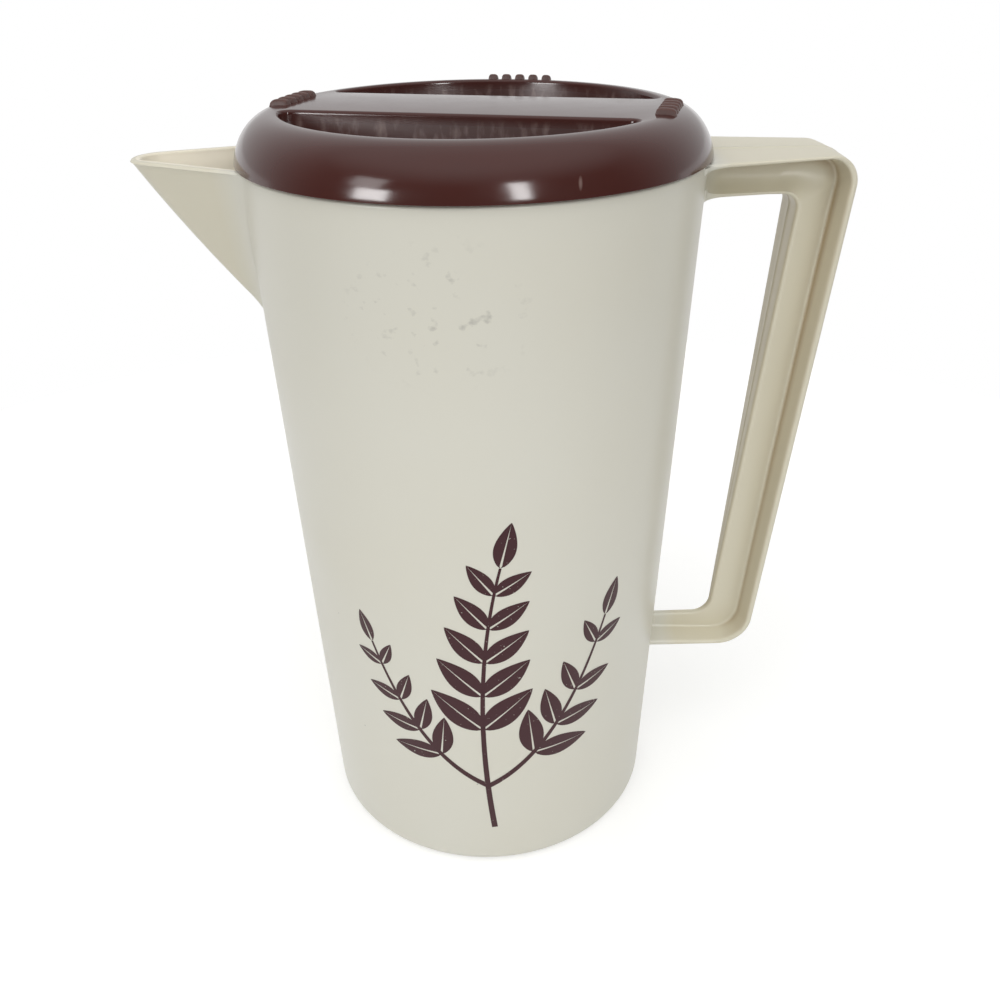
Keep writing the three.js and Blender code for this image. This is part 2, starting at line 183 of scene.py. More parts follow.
class LidSizes(PropertyGroup):
    """Sizes of the lid's cap, marks, collar and seal."""

    turn: turn("Turn", -16.0, "How far the lid is turned in the mouth")
    seam: length("Seam", 0.3, "Clearance between the lid and the rim")
    edge_radius: length("Edge radius", 63.7, "Radius of the ring's lower edge, its widest")
    edge_round: length("Lower edge", 0.4, "Radius of the lower edge itself")
    ring_width: length("Ring width", 11.5, "Lower edge to the crest, level")
    ring_sink: length("Ring sink", 2.8, "Lower edge down to the middle of the ring's rounding")
    crest_height: length("Crest height", 11.9, "Lower edge to the crest, which the bar is level with")
    shell: length("Shell", 2.4, "Thickness of the cap")
    bar_width: length("Bar width", 34.0, "Width of the bar between the wells")
    well_inset: length("Well inset", 1.4, "Crest to the round wall of a well")
    well_depth: length("Well depth", 18.0, "Top of the bar to the floor of a well")
    well_corner: length("Well corner", 2.6, "Radius of a well's two upright corners")
    well_edge: length("Well edge", 1.0, "Radius of the edge round a well's mouth")
    well_draft: length("Well draft", 1.2, "How far a well's wall leans in on its way down")
    well_floor_round: length("Well floor edge", 1.4, "Radius round a well's floor")
    mark_ribs: IntProperty(name="Mark ribs", description="Ribs in each raised mark", default=5, min=1)
    mark_pitch: length("Mark pitch", 4.2, "Rib to rib")
    mark_width: length("Mark rib width", 2.8, "Width of a rib")
    mark_length: length("Mark length", 5.5, "Length of a rib across the ring")
    mark_inset: length("Mark inset", 3.2, "Inner end of a rib inside the crest")
    mark_height: length("Mark height", 1.4, "Height of a rib")
    collar_wall: length("Collar wall", 2.2, "Thickness of the collar")
    groove_drop: length("Groove drop", 3.0, "Rim to the top of the seal's groove")
    groove_height: length("Groove height", 3.0, "Height of the seal's groove")
    groove_depth: length("Groove depth", 1.0, "Depth of the seal's groove")
    window_width: length("Window width", 26.0, "Width of the pour window")
    window_height: length("Window height", 15.0, "Height of the pour window")
    slots: IntProperty(name="Slots", description="Slots in the strainer", default=7, min=1)
    slot_width: length("Slot width", 2.2, "Width of a slot")
    slot_pitch: length("Slot pitch", 4.4, "Slot to slot")
    slot_height: length("Slot height", 13.0, "Height of a slot")


class PrintSizes(PropertyGroup):
    """Sizes of the leaf spray printed on the front of the jug."""

    leaf_length: length("Leaf length", 21.0, "Length of the longest leaf")
    leaf_width: length("Leaf width", 9.0, "Width of the longest leaf")
    vein: length("Vein", 0.7, "Bare line along the middle of a leaf")
    stem: length("Stem", 1.9, "Width of a stem at its foot")
    lift: length("Film", 0.05, "Height of the ink over the wall")


class Finishes(PropertyGroup):
    """Colours of the materials."""

    ivory: colour("Ivory", "#dcdace", "Jug")
    ivory_warm: colour("Warm ivory", "#d9d3be", "Handle, and faint clouds in the jug")
    # Painted shade: a brownish tint that darkens the handle's corners, its faces towards the jug and the
    # recess under its upper arm
    painted_shade_tint: colour("Painted_shade", "#9a7c50", "Film in the handle's corners")
    # Painted light: a paler colour that lightens the inside of the jug and its spout
    painted_inside_light: colour("Inside_light", "#f3ebd6", "Inside of the jug and its spout")
    scuff: colour("Scuff", "#a3a097", "Rubbed marks on the jug")
    brown: colour("Brown", "#42231f", "Lid")
    brown_red: colour("Red brown", "#4b2520", "Clouds in the brown")
    mark: colour("Mark", "#5c3830", "Raised marks and collar")
    # In the finger wells this colour is partly dust and partly painted light
    dust: colour("Dust", "#b09a92", "Dust in the finger wells and on the seal, and the nick in the ring")
    ink: colour("Ink", "#3b0d17", "Print")
    silicone: colour("Silicone", "#9a958c", "Seal")


class StageSettings(PropertyGroup):
    """Camera, lamps and floor."""

    camera_back: length("Camera distance", 278.67, "Jug's axis to the lens, level")
    camera_height: length("Camera height", 265.87, "Floor to the lens")
    camera_yaw: turn("Camera yaw", 1.106, "Turn to the right")
    camera_pitch: turn("Camera pitch", 29.777, "Tilt downwards")
    camera_roll: turn("Camera roll", -0.934, "Roll about the view")
    focal: FloatProperty(name="Focal length", description="On a 36 mm frame", default=35.46, unit="CAMERA")
    floor_radius: length("Floor", 450, "Radius of the round board that the pitcher stands on")
    floor_paint: colour("Floor paint", "#d2d2d0", "What the board throws back")
    floor_lift: level_of("Floor lift", 0.48, "What the camera sees besides, so that it is white")
    front_light: level_of("Front light", 1.14, "Light on matt surfaces from the camera's side of the room")
    back_light: level_of("Back light", 0.22, "Light on matt surfaces from the backdrop")
    front_gloss: level_of("Front gloss", 0.05, "What a glossy surface mirrors of the camera's side")
    back_gloss: level_of("Back gloss", 0.74, "What it mirrors of the room above the backdrop")


class PitcherSettings(PropertyGroup):
    """Everything that can be set."""

    jug: PointerProperty(type=JugSizes)
    handle: PointerProperty(type=HandleSizes)
    lid: PointerProperty(type=LidSizes)
    leaves: PointerProperty(type=PrintSizes)
    finish: PointerProperty(type=Finishes)
    stage: PointerProperty(type=StageSettings)


# Shapes


def stitched(rings, closed=True, caps=False):
    """Points and faces of a skin over rings of equal count, with both ends capped if asked."""
    rings = np.asarray(rings)
    rows, count = rings.shape[:2]
    faces = []
    for i in range(rows - 1):
        for j in range(count if closed else count - 1):
            k = (j + 1) % count
            faces.append((i * count + j, i * count + k, (i + 1) * count + k, (i + 1) * count + j))
    if caps:
        faces.append(tuple(reversed(range(count))))
        faces.append(tuple(range((rows - 1) * count, rows * count)))
    return rings.reshape(-1, 3), faces


def turned(profile):
    """Rings of a profile of (radius, height) points turned round Z."""
    angles = np.arange(ROUND_STEPS) * 2 * math.pi / ROUND_STEPS
    circle = np.stack([np.cos(angles), np.sin(angles)], 1)
    return [level(r * circle, z) for r, z in profile]


def arc(centre, radii, start, stop, steps):
    """Points of an elliptical arc between two angles in degrees."""
    angles = np.radians(np.linspace(start, stop, steps + 1))
    return np.stack([centre[0] + radii[0] * np.cos(angles), centre[1] + radii[1] * np.sin(angles)], 1)


def spun(points, angle):
    """Points turned round Z."""
    return np.asarray(points) @ np.array(Matrix.Rotation(angle, 3, "Z")).T


def level(outline, height):
    """Flat outline lifted to a height."""
    return np.column_stack([outline, np.full(len(outline), height)])


def inside(outline, place):
    """Whether a place lies inside a closed outline."""
    ahead = np.roll(outline, -1, 0)
    rising = (outline[:, 1] > place[1]) != (ahead[:, 1] > place[1])
    slope = (ahead[:, 0] - outline[:, 0]) / np.where(rising, ahead[:, 1] - outline[:, 1], 1)
    crossing = outline[:, 0] + slope * (place[1] - outline[:, 1])
    return np.count_nonzero(rising & (place[0] < crossing)) % 2 == 1


def plate(outline, holes, height):
    """Flat plate with holes."""
    points, edges = [], []
    for loop in [outline, *holes]:
        start = len(points)
        points.extend(Vector(p) for p in loop)
        edges.extend((start + i, start + (i + 1) % len(loop)) for i in range(len(loop)))
    made, _, triangles = delaunay_2d_cdt(points, edges, [], 1, WELD / 10)[:3]
    flat = np.array([(p.x, p.y) for p in made])
    kept = [t for t in triangles if not any(inside(hole, flat[list(t)].mean(0)) for hole in holes)]
    return level(flat, height), kept


def unit(vector):
    """Vector of length 1."""
    return vector / np.linalg.norm(vector)


def rounded_path(corners, radii, counts):
    """Points along a path with rounded corners: as many as given for each run and each bend in turn."""
    corners = [np.array(c) for c in corners]
    counts = iter(counts)
    start, points = corners[0], []
    for before, corner, after, radius in zip(corners, corners[1:], corners[2:], radii):
        back, ahead = unit(before - corner), unit(after - corner)
        half = math.acos(back @ ahead) / 2
        centre = corner + unit(back + ahead) * radius / math.sin(half)
        first, last = (corner + way * radius / math.tan(half) for way in (back, ahead))
        points.extend(np.linspace(start, first, next(counts), endpoint=False))
        sweep = math.pi - 2 * half
        for t in np.linspace(0, 1, next(counts), endpoint=False):
            spokes = math.sin((1 - t) * sweep) * (first - centre) + math.sin(t * sweep) * (last - centre)
            points.append(centre + spokes / math.sin(sweep))
        start = last
    points.extend(np.linspace(start, corners[-1], next(counts)))
    return np.array(points)


def soft_max(a, b, blend):
    """The larger of two values, with a smooth change over a blend width."""
    overlap = np.clip(blend - np.abs(a - b), 0, None) / blend
    return np.maximum(a, b) + blend * overlap ** 2 / 4


def smooth_step(t):
    """Rise from 0 to 1 with level ends."""
    t = np.clip(t, 0, 1)
    return t * t * (3 - 2 * t)


def make_piece(name, parts, finish, body, stands_for):
    """One smooth object from meshes whose touching points are welded, riding on a body of the frame."""
    points, faces = [], []
    for part_points, part_faces in parts:
        start = len(points)
        points.extend(tuple(p) for p in part_points)
        faces.extend([start + i for i in face] for face in part_faces)
    mesh = bpy.data.meshes.new(name)
    mesh.from_pydata(points, [], faces)
    shell = bmesh.new()
    shell.from_mesh(mesh)
    bmesh.ops.remove_doubles(shell, verts=shell.verts, dist=WELD)
    bmesh.ops.recalc_face_normals(shell, faces=shell.faces)
    shell.to_mesh(mesh)
    shell.free()
    mesh.shade_smooth()
    mesh.set_sharp_from_angle(angle=SHARP_EDGE)
    mesh.materials.append(finish)
    piece = bpy.data.objects.new(name, mesh)
    bpy.context.scene.collection.objects.link(piece)
    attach(piece, body)
    if stands_for:
        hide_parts(stands_for)
    return piece


# Materials

# Where the materials change, in the frame of the solids: warmer tone, painted shade, painted light and wear.
# A pair is where a change begins and where it is complete.
HANDLE_WARMTH = (61 * MM, 66 * MM)
SPOUT_WARMTH = (-60 * MM, -68 * MM)
HANDLE_SHADE_SPAN = (64 * MM, 72 * MM)
UNDER_ARM_SHADE = (206 * MM, 211 * MM)
INSIDE_LIGHT_END = 50 * MM
SCUFFS = (-10 * MM, -61 * MM, 190 * MM)
SCUFFS_REACH = (26, 60, 20)
NICK = (23 * MM, -60.5 * MM, 219.5 * MM)
NICK_REACH = (0.75, 3, 2.6)

LEVEL_PART = (1, 1, 0)


def add_node(tree, kind, inputs=None, **options):
    """Adds a node, with inputs set or linked by identifier, and gives its outputs by identifier."""
    node = tree.nodes.new("ShaderNode" + kind)
    for option, value in options.items():
        setattr(node, option, value)
    sockets = {socket.identifier: socket for socket in node.inputs}
    for identifier, value in (inputs or {}).items():
        if isinstance(value, bpy.types.NodeSocket):
            tree.links.new(value, sockets[identifier])
        else:
            sockets[identifier].default_value = value
    return {socket.identifier: socket for socket in node.outputs}


def emptied(owner):
    """What adds a node to a material or a world, whose node tree is emptied first."""
    owner.use_nodes = True
    owner.node_tree.nodes.clear()
    return partial(add_node, owner.node_tree)


def new_material(name):
    """Material with no nodes yet, and what adds them."""
    material = bpy.data.materials.new(name)
    return material, emptied(material)


def per(millimetres):
    """Texture scale whose features come one to this many millimetres."""
    return 1 / (millimetres * MM)


def distance_from(add, place, centre, reach):
    """Distance from a centre, which is 1 on an oval with this reach in millimetres along each axis."""
    shares = tuple(per(r) for r in reach)
    away = add("VectorMath", {"Vector": place, "Vector_001": centre}, operation="SUBTRACT")["Vector"]
    away = add("VectorMath", {"Vector": away, "Vector_001": shares}, operation="MULTIPLY")["Vector"]
    return add("VectorMath", {"Vector": away}, operation="LENGTH")["Value"]


def moulded_polypropylene(finish):
    """Polypropylene, moulded in a polished tool, some years in use."""
    # Opaque ivory with a soft gloss and faint clouds in its pigment. Painted light makes the inside of the
    # jug and its spout paler. The handle and, less, the spout have a warmer tone, and a brownish painted
    # shade darkens the handle's corners, its faces towards the jug and the recess under its upper arm. There
    # are rubbed grey marks high on the front, and a few dark specks.
    material, add = new_material("polypropylene_moulded_ivory")
    texture = add("TexCoord")
    place, normal = texture["Object"], texture["Normal"]
    axes = add("SeparateXYZ", {"Vector": place})
    facing = add("SeparateXYZ", {"Vector": normal})

    cloud = add("TexNoise", {"Vector": place, "Scale": per(60), "Detail": 2.0})["Fac"]
    cloudy = add("MapRange", {"Value": cloud, "From Min": 0.35, "From Max": 0.75, "To Max": 0.22})["Result"]
    # The handle, and less the spout, are given a warmer and slightly darker tone
    start, full = HANDLE_WARMTH
    handle = add("MapRange", {"Value": axes["X"], "From Min": start, "From Max": full, "To Min": cloudy})
    start, full = SPOUT_WARMTH
    spout = add("MapRange", {"Value": axes["X"], "From Min": start, "From Max": full, "To Max": 0.85})
    warmer = add("Math", {"Value": handle["Result"], "Value_001": spout["Result"]}, operation="MAXIMUM")

    # Painted shade from here to the mask's end: a brownish tint where the handle's corners, its faces
    # towards the jug and the recess under the upper arm lie in shade
    corner = add("AmbientOcclusion", {"Distance": 5 * MM}, samples=8, only_local=True)["AO"]
    corner_shade = add(
        "MapRange", {"Value": corner, "From Min": 0.85, "From Max": 0.4, "To Min": 0.22, "To Max": 0.85}
    )
    to_jug = add("MapRange", {"Value": facing["X"], "From Min": -0.3, "From Max": -0.8})
    corner_shade = add("Math", {"Value": corner_shade["Result"], "Value_001": to_jug["Result"]}, operation="MULTIPLY")
    under_arm_shade = add("MapRange", {"Value": corner, "From Min": 0.85, "From Max": 0.45, "To Max": 0.95})
    start, full = UNDER_ARM_SHADE
    under = add("MapRange", {"Value": axes["Z"], "From Min": start, "From Max": full})
    under_arm_shade = add("Math", {"Value": under_arm_shade["Result"], "Value_001": under["Result"]}, operation="MULTIPLY")
    film = add("Math", {"Value": corner_shade["Value"], "Value_001": under_arm_shade["Value"]}, operation="MAXIMUM")
    start, full = HANDLE_SHADE_SPAN
    out = add("MapRange", {"Value": axes["X"], "From Min": start, "From Max": full})
    film = add("Math", {"Value": film["Value"], "Value_001": out["Result"]}, operation="MULTIPLY")

    # Painted light: the inward faces of the jug and its spout are painted paler
    flat = add("VectorMath", {"Vector": place, "Vector_001": LEVEL_PART}, operation="MULTIPLY")["Vector"]
    outwards = add("VectorMath", {"Vector": flat, "Vector_001": normal}, operation="DOT_PRODUCT")["Value"]
    inward = add("Math", {"Value": outwards, "Value_001": 0.0}, operation="LESS_THAN")
    on_jug = add("Math", {"Value": axes["X"], "Value_001": INSIDE_LIGHT_END}, operation="LESS_THAN")
    painted_inside_light = add("Math", {"Value": inward["Value"], "Value_001": on_jug["Value"]}, operation="MULTIPLY")

    slant = {"Rotation": (0, math.radians(28), 0), "Scale": (per(4), per(4), per(3))}
    slanted = add("Mapping", {"Vector": place, **slant})["Vector"]
    rub = add("TexNoise", {"Vector": slanted, "Scale": 1.0, "Detail": 3.0})["Fac"]
    rubbed = add("MapRange", {"Value": rub, "From Min": 0.605, "From Max": 0.78, "To Max": 0.7})
    away = distance_from(add, place, SCUFFS, SCUFFS_REACH)
    patch = add("MapRange", {"Value": away, "From Min": 1.0, "From Max": 0.6})
    rubbed = add("Math", {"Value": rubbed["Result"], "Value_001": patch["Result"]}, operation="MULTIPLY")
    speck = add("TexVoronoi", {"Vector": place, "Scale": per(21)})["Distance"]
    specks = add("MapRange", {"Value": speck, "From Min": 0.022, "From Max": 0.014, "To Max": 0.7})
    wear = add("Math", {"Value": rubbed["Value"], "Value_001": specks["Result"]}, operation="MAXIMUM")

    body = finish.ivory
    for cover, tint in (
        (warmer["Value"], finish.ivory_warm),
        (film["Value"], finish.painted_shade_tint),
        (painted_inside_light["Value"], finish.painted_inside_light),
        (wear["Value"], finish.scuff),
    ):
        shares = {"Factor_Float": cover, "A_Color": body, "B_Color": tint}
        body = add("Mix", shares, data_type="RGBA")["Result_Color"]

    ripple = add("TexNoise", {"Vector": place, "Scale": per(14), "Detail": 1.0})["Fac"]
    bump = add("Bump", {"Height": ripple, "Strength": 0.12, "Distance": 0.1 * MM})["Normal"]
    gloss = add(
        "MapRange", {"Value": cloud, "From Min": 0.3, "From Max": 0.7, "To Min": 0.3, "To Max": 0.38}
    )
    shader = add("BsdfPrincipled", {
        "Base Color": body,
        "Roughness": gloss["Result"],
        "IOR": 1.49,
        "Normal": bump,
    })
    add("OutputMaterial", {"Surface": shader["BSDF"]})
    return material


def polished_abs(finish, crest_height, crest_radius):
    """ABS, moulded in a polished tool."""
    # Deep red-brown that goes grey where it mirrors the backdrop at a low angle, with faint smears in its
    # gloss. Pale dust runs in streaks down the walls of the finger wells, and a faint pale film over their
    # walls and floors is partly dust and partly painted light that lightens the wells where they lie in
    # shade. A nick in the ring shows lighter plastic.
    material, add = new_material("abs_polished_brown")
    texture = add("TexCoord")
    place = texture["Object"]
    axes = add("SeparateXYZ", {"Vector": place})
    facing = add("SeparateXYZ", {"Vector": texture["Normal"]})
    cloud = add("TexNoise", {"Vector": place, "Scale": per(30), "Detail": 3.0})["Fac"]

    flat = add("VectorMath", {"Vector": place, "Vector_001": LEVEL_PART}, operation="MULTIPLY")["Vector"]
    radius = add("VectorMath", {"Vector": flat}, operation="LENGTH")["Value"]
    within = add("MapRange", {"Value": radius, "From Min": crest_radius, "From Max": crest_radius - 1 * MM})
    start, full = crest_height - 1 * MM, crest_height - 3 * MM
    sunk = add("MapRange", {"Value": axes["Z"], "From Min": start, "From Max": full})
    well = add("Math", {"Value": within["Result"], "Value_001": sunk["Result"]}, operation="MULTIPLY")

    # Streaks of dust, and a faint pale film that is partly painted light in the shaded wells
    upright = add("Mapping", {"Vector": place, "Scale": (per(2.1), per(2.1), per(5))})["Vector"]
    streak = add("TexNoise", {"Vector": upright, "Scale": 1.0, "Detail": 3.0})["Fac"]
    dusty = add(
        "MapRange", {"Value": streak, "From Min": 0.5, "From Max": 0.8, "To Min": 0.02, "To Max": 0.4}
    )
    level_share = add("Math", {"Value": facing["Z"]}, operation="ABSOLUTE")["Value"]
    steep = add("MapRange", {"Value": level_share, "From Min": 0.8, "From Max": 0.3, "To Min": 0.12})
    dusty = add("Math", {"Value": dusty["Result"], "Value_001": steep["Result"]}, operation="MULTIPLY")
    dusty = add("Math", {"Value": dusty["Value"], "Value_001": well["Value"]}, operation="MULTIPLY")
    away = distance_from(add, place, NICK, NICK_REACH)
    nick = add("MapRange", {"Value": away, "From Min": 1.0, "From Max": 0.3, "To Max": 0.8})
    pale_marks_and_light = add("Math", {"Value": dusty["Value"], "Value_001": nick["Result"]}, operation="MAXIMUM")["Value"]

    body = finish.brown
    for cover, tint in ((cloud, finish.brown_red), (pale_marks_and_light, finish.dust)):
        shares = {"Factor_Float": cover, "A_Color": body, "B_Color": tint}
        body = add("Mix", shares, data_type="RGBA")["Result_Color"]

    smear = add("TexNoise", {"Vector": place, "Scale": per(9), "Detail": 4.0})["Fac"]
    gloss = add(
        "MapRange", {"Value": smear, "From Min": 0.35, "From Max": 0.75, "To Min": 0.12, "To Max": 0.18}
    )
    gloss = add("MapRange", {"Value": well["Value"], "To Min": gloss["Result"], "To Max": 0.3})
    shader = add("BsdfPrincipled", {
        "Base Color": body,
        "Roughness": gloss["Result"],
        "IOR": 1.54,
    })
    add("OutputMaterial", {"Surface": shader["BSDF"]})
    return material


def blasted_abs(finish):
    """ABS, moulded in a blasted tool."""
    # Matt red-brown, a little lighter than the polished lid. Its grain, under a tenth of a millimetre, is
    # too fine to show, so it is drawn some seven times as coarse.
    material, add = new_material("abs_blasted_brown")
    place = add("TexCoord")["Object"]
    grain = add("TexNoise", {"Vector": place, "Scale": per(0.7), "Detail": 2.0})["Fac"]
    rubbed = add("MapRange", {"Value": grain, "From Min": 0.3, "From Max": 0.8, "To Max": 0.5})["Result"]
    bump = add("Bump", {"Height": grain, "Strength": 0.4, "Distance": 0.06 * MM})["Normal"]
    shares = {"Factor_Float": rubbed, "A_Color": finish.mark, "B_Color": finish.brown}
    body = add("Mix", shares, data_type="RGBA")["Result_Color"]
    shader = add("BsdfPrincipled", {
        "Base Color": body,
        "Roughness": 0.5,
        "IOR": 1.54,
        "Normal": bump,
    })
    add("OutputMaterial", {"Surface": shader["BSDF"]})
    return material


def screen_ink(finish):
    """Screen-printing ink, cured on plastic."""
    # Dark maroon film, a little duller than the plastic, with pinholes where the jug shows through. The
    # pinholes are drawn coarser than a screen's mesh leaves them, so that they show.
    material, add = new_material("screen_print_ink_maroon")
    place = add("TexCoord")["Object"]
    mesh = add("TexNoise", {"Vector": place, "Scale": per(0.9), "Detail": 2.0})["Fac"]
    holes = add("MapRange", {"Value": mesh, "From Min": 0.7, "From Max": 0.78, "To Max": 0.6})["Result"]
    shares = {"Factor_Float": holes, "A_Color": finish.ink, "B_Color": finish.ivory}
    body = add("Mix", shares, data_type="RGBA")["Result_Color"]
    shader = add("BsdfPrincipled", {
        "Base Color": body,
        "Roughness": 0.3,
        "IOR": 1.47,
        "Specular IOR Level": 0.4,
    })
    add("OutputMaterial", {"Surface": shader["BSDF"]})
    return material


def moulded_silicone(finish):
    """Silicone rubber, compression moulded."""
    # Matt grey with a faint bloom, dusty in places. Its grain is drawn coarser than it is, so that it shows.
    material, add = new_material("silicone_moulded_grey")
    place = add("TexCoord")["Object"]
    grain = add("TexNoise", {"Vector": place, "Scale": per(0.8), "Detail": 3.0})["Fac"]
    bump = add("Bump", {"Height": grain, "Strength": 0.3, "Distance": 0.05 * MM})["Normal"]
    bloom = add(
        "MapRange", {"Value": grain, "From Min": 0.3, "From Max": 0.7, "To Min": 0.6, "To Max": 0.75}
    )
    cloud = add("TexNoise", {"Vector": place, "Scale": per(7), "Detail": 3.0})["Fac"]
    dusty = add("MapRange", {"Value": cloud, "From Min": 0.4, "From Max": 0.75, "To Max": 0.5})["Result"]
    shares = {"Factor_Float": dusty, "A_Color": finish.silicone, "B_Color": finish.dust}
    body = add("Mix", shares, data_type="RGBA")["Result_Color"]
    shader = add("BsdfPrincipled", {
        "Base Color": body,
        "Roughness": bloom["Result"],
        "IOR": 1.41,
        "Normal": bump,
    })
    add("OutputMaterial", {"Surface": shader["BSDF"]})
    return material


def finish_called(name, maker, *settings):
    """The material of this name, made when it is first asked for."""
    return bpy.data.materials.get(name) or maker(*settings)


def ivory_plastic(pitcher):
    """Material of the jug and the handle."""
    return finish_called("polypropylene_moulded_ivory", moulded_polypropylene, pitcher.finish)


def gloss_brown(pitcher):
    """Material of the lid's cap."""
    crest_height, crest_radius = lid_levels(pitcher.lid)[1:]
    return finish_called("abs_polished_brown", polished_abs, pitcher.finish, crest_height, crest_radius)


def satin_brown(pitcher):
    """Material of the raised marks and the collar."""
    return finish_called("abs_blasted_brown", blasted_abs, pitcher.finish)


# Jug


def wall_radius(jug, height):
    """Radius of the jug's outer wall at a height."""
    return jug.base_radius + (RIM_RADIUS - jug.base_radius) * height / RIM_HEIGHT


def spout_radius(jug, angles, height, inset):
    """Distance from the jug's axis to the spout's V, or to its channel, at each angle from its middle."""
    foot_height = RIM_HEIGHT - jug.spout_drop
    foot = wall_radius(jug, foot_height)
    sunk = jug.wall / 2
    apex = foot - sunk - inset
    low = foot_height - sunk / (SPOUT_TIP - foot) * jug.spout_drop
    up = (height - low) / (RIM_HEIGHT - low)
    bow = 4 * jug.spout_belly * max(0, up * (1 - up))
    centre = apex + (SPOUT_TIP - jug.spout_tip - apex) * up + bow
    radius = max(0, (jug.spout_tip - inset) * up)

    slope = jug.spout_slope
    away = np.abs(angles)
    facing = away + slope < math.pi / 2
    tilt = np.sin(np.where(facing, away + slope, 1))
    flank = np.where(facing, (radius + centre * math.sin(slope)) / tilt, 0)
    tip = centre * np.cos(away) + np.sqrt(np.clip(radius ** 2 - (centre * np.sin(away)) ** 2, 0, None))
    tangent = math.atan2(radius * math.cos(slope), centre + radius * math.sin(slope))
    return np.where(away < tangent, tip, flank)


def outer_radius(jug, angles, height):
    """Radius of the jug's outside at each angle from the spout's middle."""
    spout = spout_radius(jug, angles, height, 0)
    return soft_max(np.full(len(angles), wall_radius(jug, height)), spout, jug.spout_blend)


def inner_radius(jug, angles, height):
    """Radius of the jug's inside at each angle from the spout's middle."""
    spout = spout_radius(jug, angles, height, jug.spout_wall)
    return soft_max(np.full(len(angles), wall_radius(jug, height) - jug.wall), spout, jug.spout_blend)


def jug_rings(jug):
    """Rings from the middle of the base, up the outside, over the rim and down the inside to the floor."""
    near = math.radians(40)
    angles = np.concatenate([
        np.linspace(-near, near, SPOUT_STEPS, endpoint=False),
        np.linspace(near, 2 * math.pi - near, WALL_STEPS, endpoint=False),
    ])
    angles = (angles + math.pi) % (2 * math.pi) - math.pi
    around = np.ones(len(angles))
    lean = math.atan2(RIM_RADIUS - jug.base_radius, RIM_HEIGHT)
    upright = -math.degrees(lean)
    corner = math.tan(math.pi / 4 + lean / 2)

    foot = jug.base_radius - jug.base_round / corner
    recess = foot - jug.foot_width
    button = jug.foot_recess / 2
    rows = [(around * r, z) for r, z in [
        (jug.gate_radius / 3, button),
        (jug.gate_radius - button, button),
        (jug.gate_radius, jug.foot_recess),
        (recess - jug.foot_recess, jug.foot_recess),
        (recess, 0),
    ]]
    edge = arc((foot, jug.base_round), (jug.base_round,) * 2, -90, upright, BEND_STEPS)
    rows += [(around * r, z) for r, z in edge]

    spout_foot = RIM_HEIGHT - jug.spout_drop - jug.spout_blend * 2
    rise = np.concatenate([
        np.linspace(edge[-1][1], spout_foot, 8)[1:],
        np.linspace(spout_foot, RIM_HEIGHT - jug.rim_round, 40)[1:],
    ])
    rows += [(outer_radius(jug, angles, z), z) for z in rise]

    outside, within = (side(jug, angles, RIM_HEIGHT) for side in (outer_radius, inner_radius))
    bend = arc((0, 0), (jug.rim_round,) * 2, 0, 90, 5)
    top = RIM_HEIGHT - jug.rim_round
    rows += [(outside - jug.rim_round + r, top + z) for r, z in bend[1:]]
    rows += [(within + jug.rim_round - r, top + z) for r, z in bend[::-1]]

    floor_foot = wall_radius(jug, jug.floor) - jug.wall - jug.floor_round / corner
    floor_middle = (floor_foot, jug.floor + jug.floor_round)
    floor_edge = arc(floor_middle, (jug.floor_round,) * 2, -90, upright, BEND_STEPS)
    fall = np.concatenate([
        np.linspace(top, spout_foot, 40)[1:],
        np.linspace(spout_foot, floor_edge[-1][1], 8)[1:-1],
    ])
    rows += [(inner_radius(jug, angles, z), z) for z in fall]
    rows += [(around * r, z) for r, z in floor_edge[::-1]]
    rows += [(around * jug.gate_radius, jug.floor)]

    out = smooth_step((outside - RIM_RADIUS) / (SPOUT_TIP - RIM_RADIUS))
    rings = []
    for radius, height in rows:
        up = max(0, (height - spout_foot) / (RIM_HEIGHT - spout_foot))
        lifted = height + jug.spout_lift * out * up
        rings.append(np.stack([-radius * np.cos(angles), -radius * np.sin(angles), lifted], 1))
    return rings


# Print

LEAF_ANGLE = math.radians(46)
STEM_TIP = 0.4
LAST_LEAVES = 0.9
LEAF_FALL = 0.4
END_LEAF = 0.7


def on_wall(jug, places, lift):
    """Points on the jug's outside from places given as (across the front, height)."""
    across, height = np.moveaxis(np.asarray(places), -1, 0)
    radius = wall_radius(jug, height)
    angle = across / radius - math.pi / 2
    return np.stack([(radius + lift) * np.cos(angle), (radius + lift) * np.sin(angle), height], -1)


def stem_line(start, middle, end):
    """Places along a stem that bends once, from places in millimetres."""
    start, middle, end = (np.array(p) * MM for p in (start, middle, end))
    t = np.linspace(0, 1, STEM_STEPS)[:, None]
    return (1 - t) ** 2 * start + 2 * t * (1 - t) * middle + t ** 2 * end


def ribbon(line, widths):
    """Rows of places across a line, as wide as given at each of its places."""
    along = np.gradient(line, axis=0)
    along /= np.linalg.norm(along, axis=1)[:, None]
    side = np.stack([-along[:, 1], along[:, 0]], 1) * np.asarray(widths)[:, None] / 2
    return [line + side * s for s in np.linspace(-1, 1, 4)]


def leaf_halves(leaves, base, way, size):
    """Rows of places over the two halves of an almond-shaped leaf, on each side of its bare vein."""
    t = np.linspace(0, 1, 20)
    ahead = np.array([math.cos(way), math.sin(way)])
    aside = np.array([-ahead[1], ahead[0]])
    middle = np.array(base) + np.outer(t * leaves.leaf_length * size, ahead)
    # Fullest a little below the middle, with slightly blunted sides
    half = leaves.leaf_width * size / 2 * np.sin(math.pi * t ** 0.8) ** 0.85
    gap = np.minimum(leaves.vein / 2 * (1 - t), half)
    return [
        [middle + np.outer(hand * (gap + (half - gap) * s), aside) for s in np.linspace(0, 1, 5)]
        for hand in (1, -1)
    ]


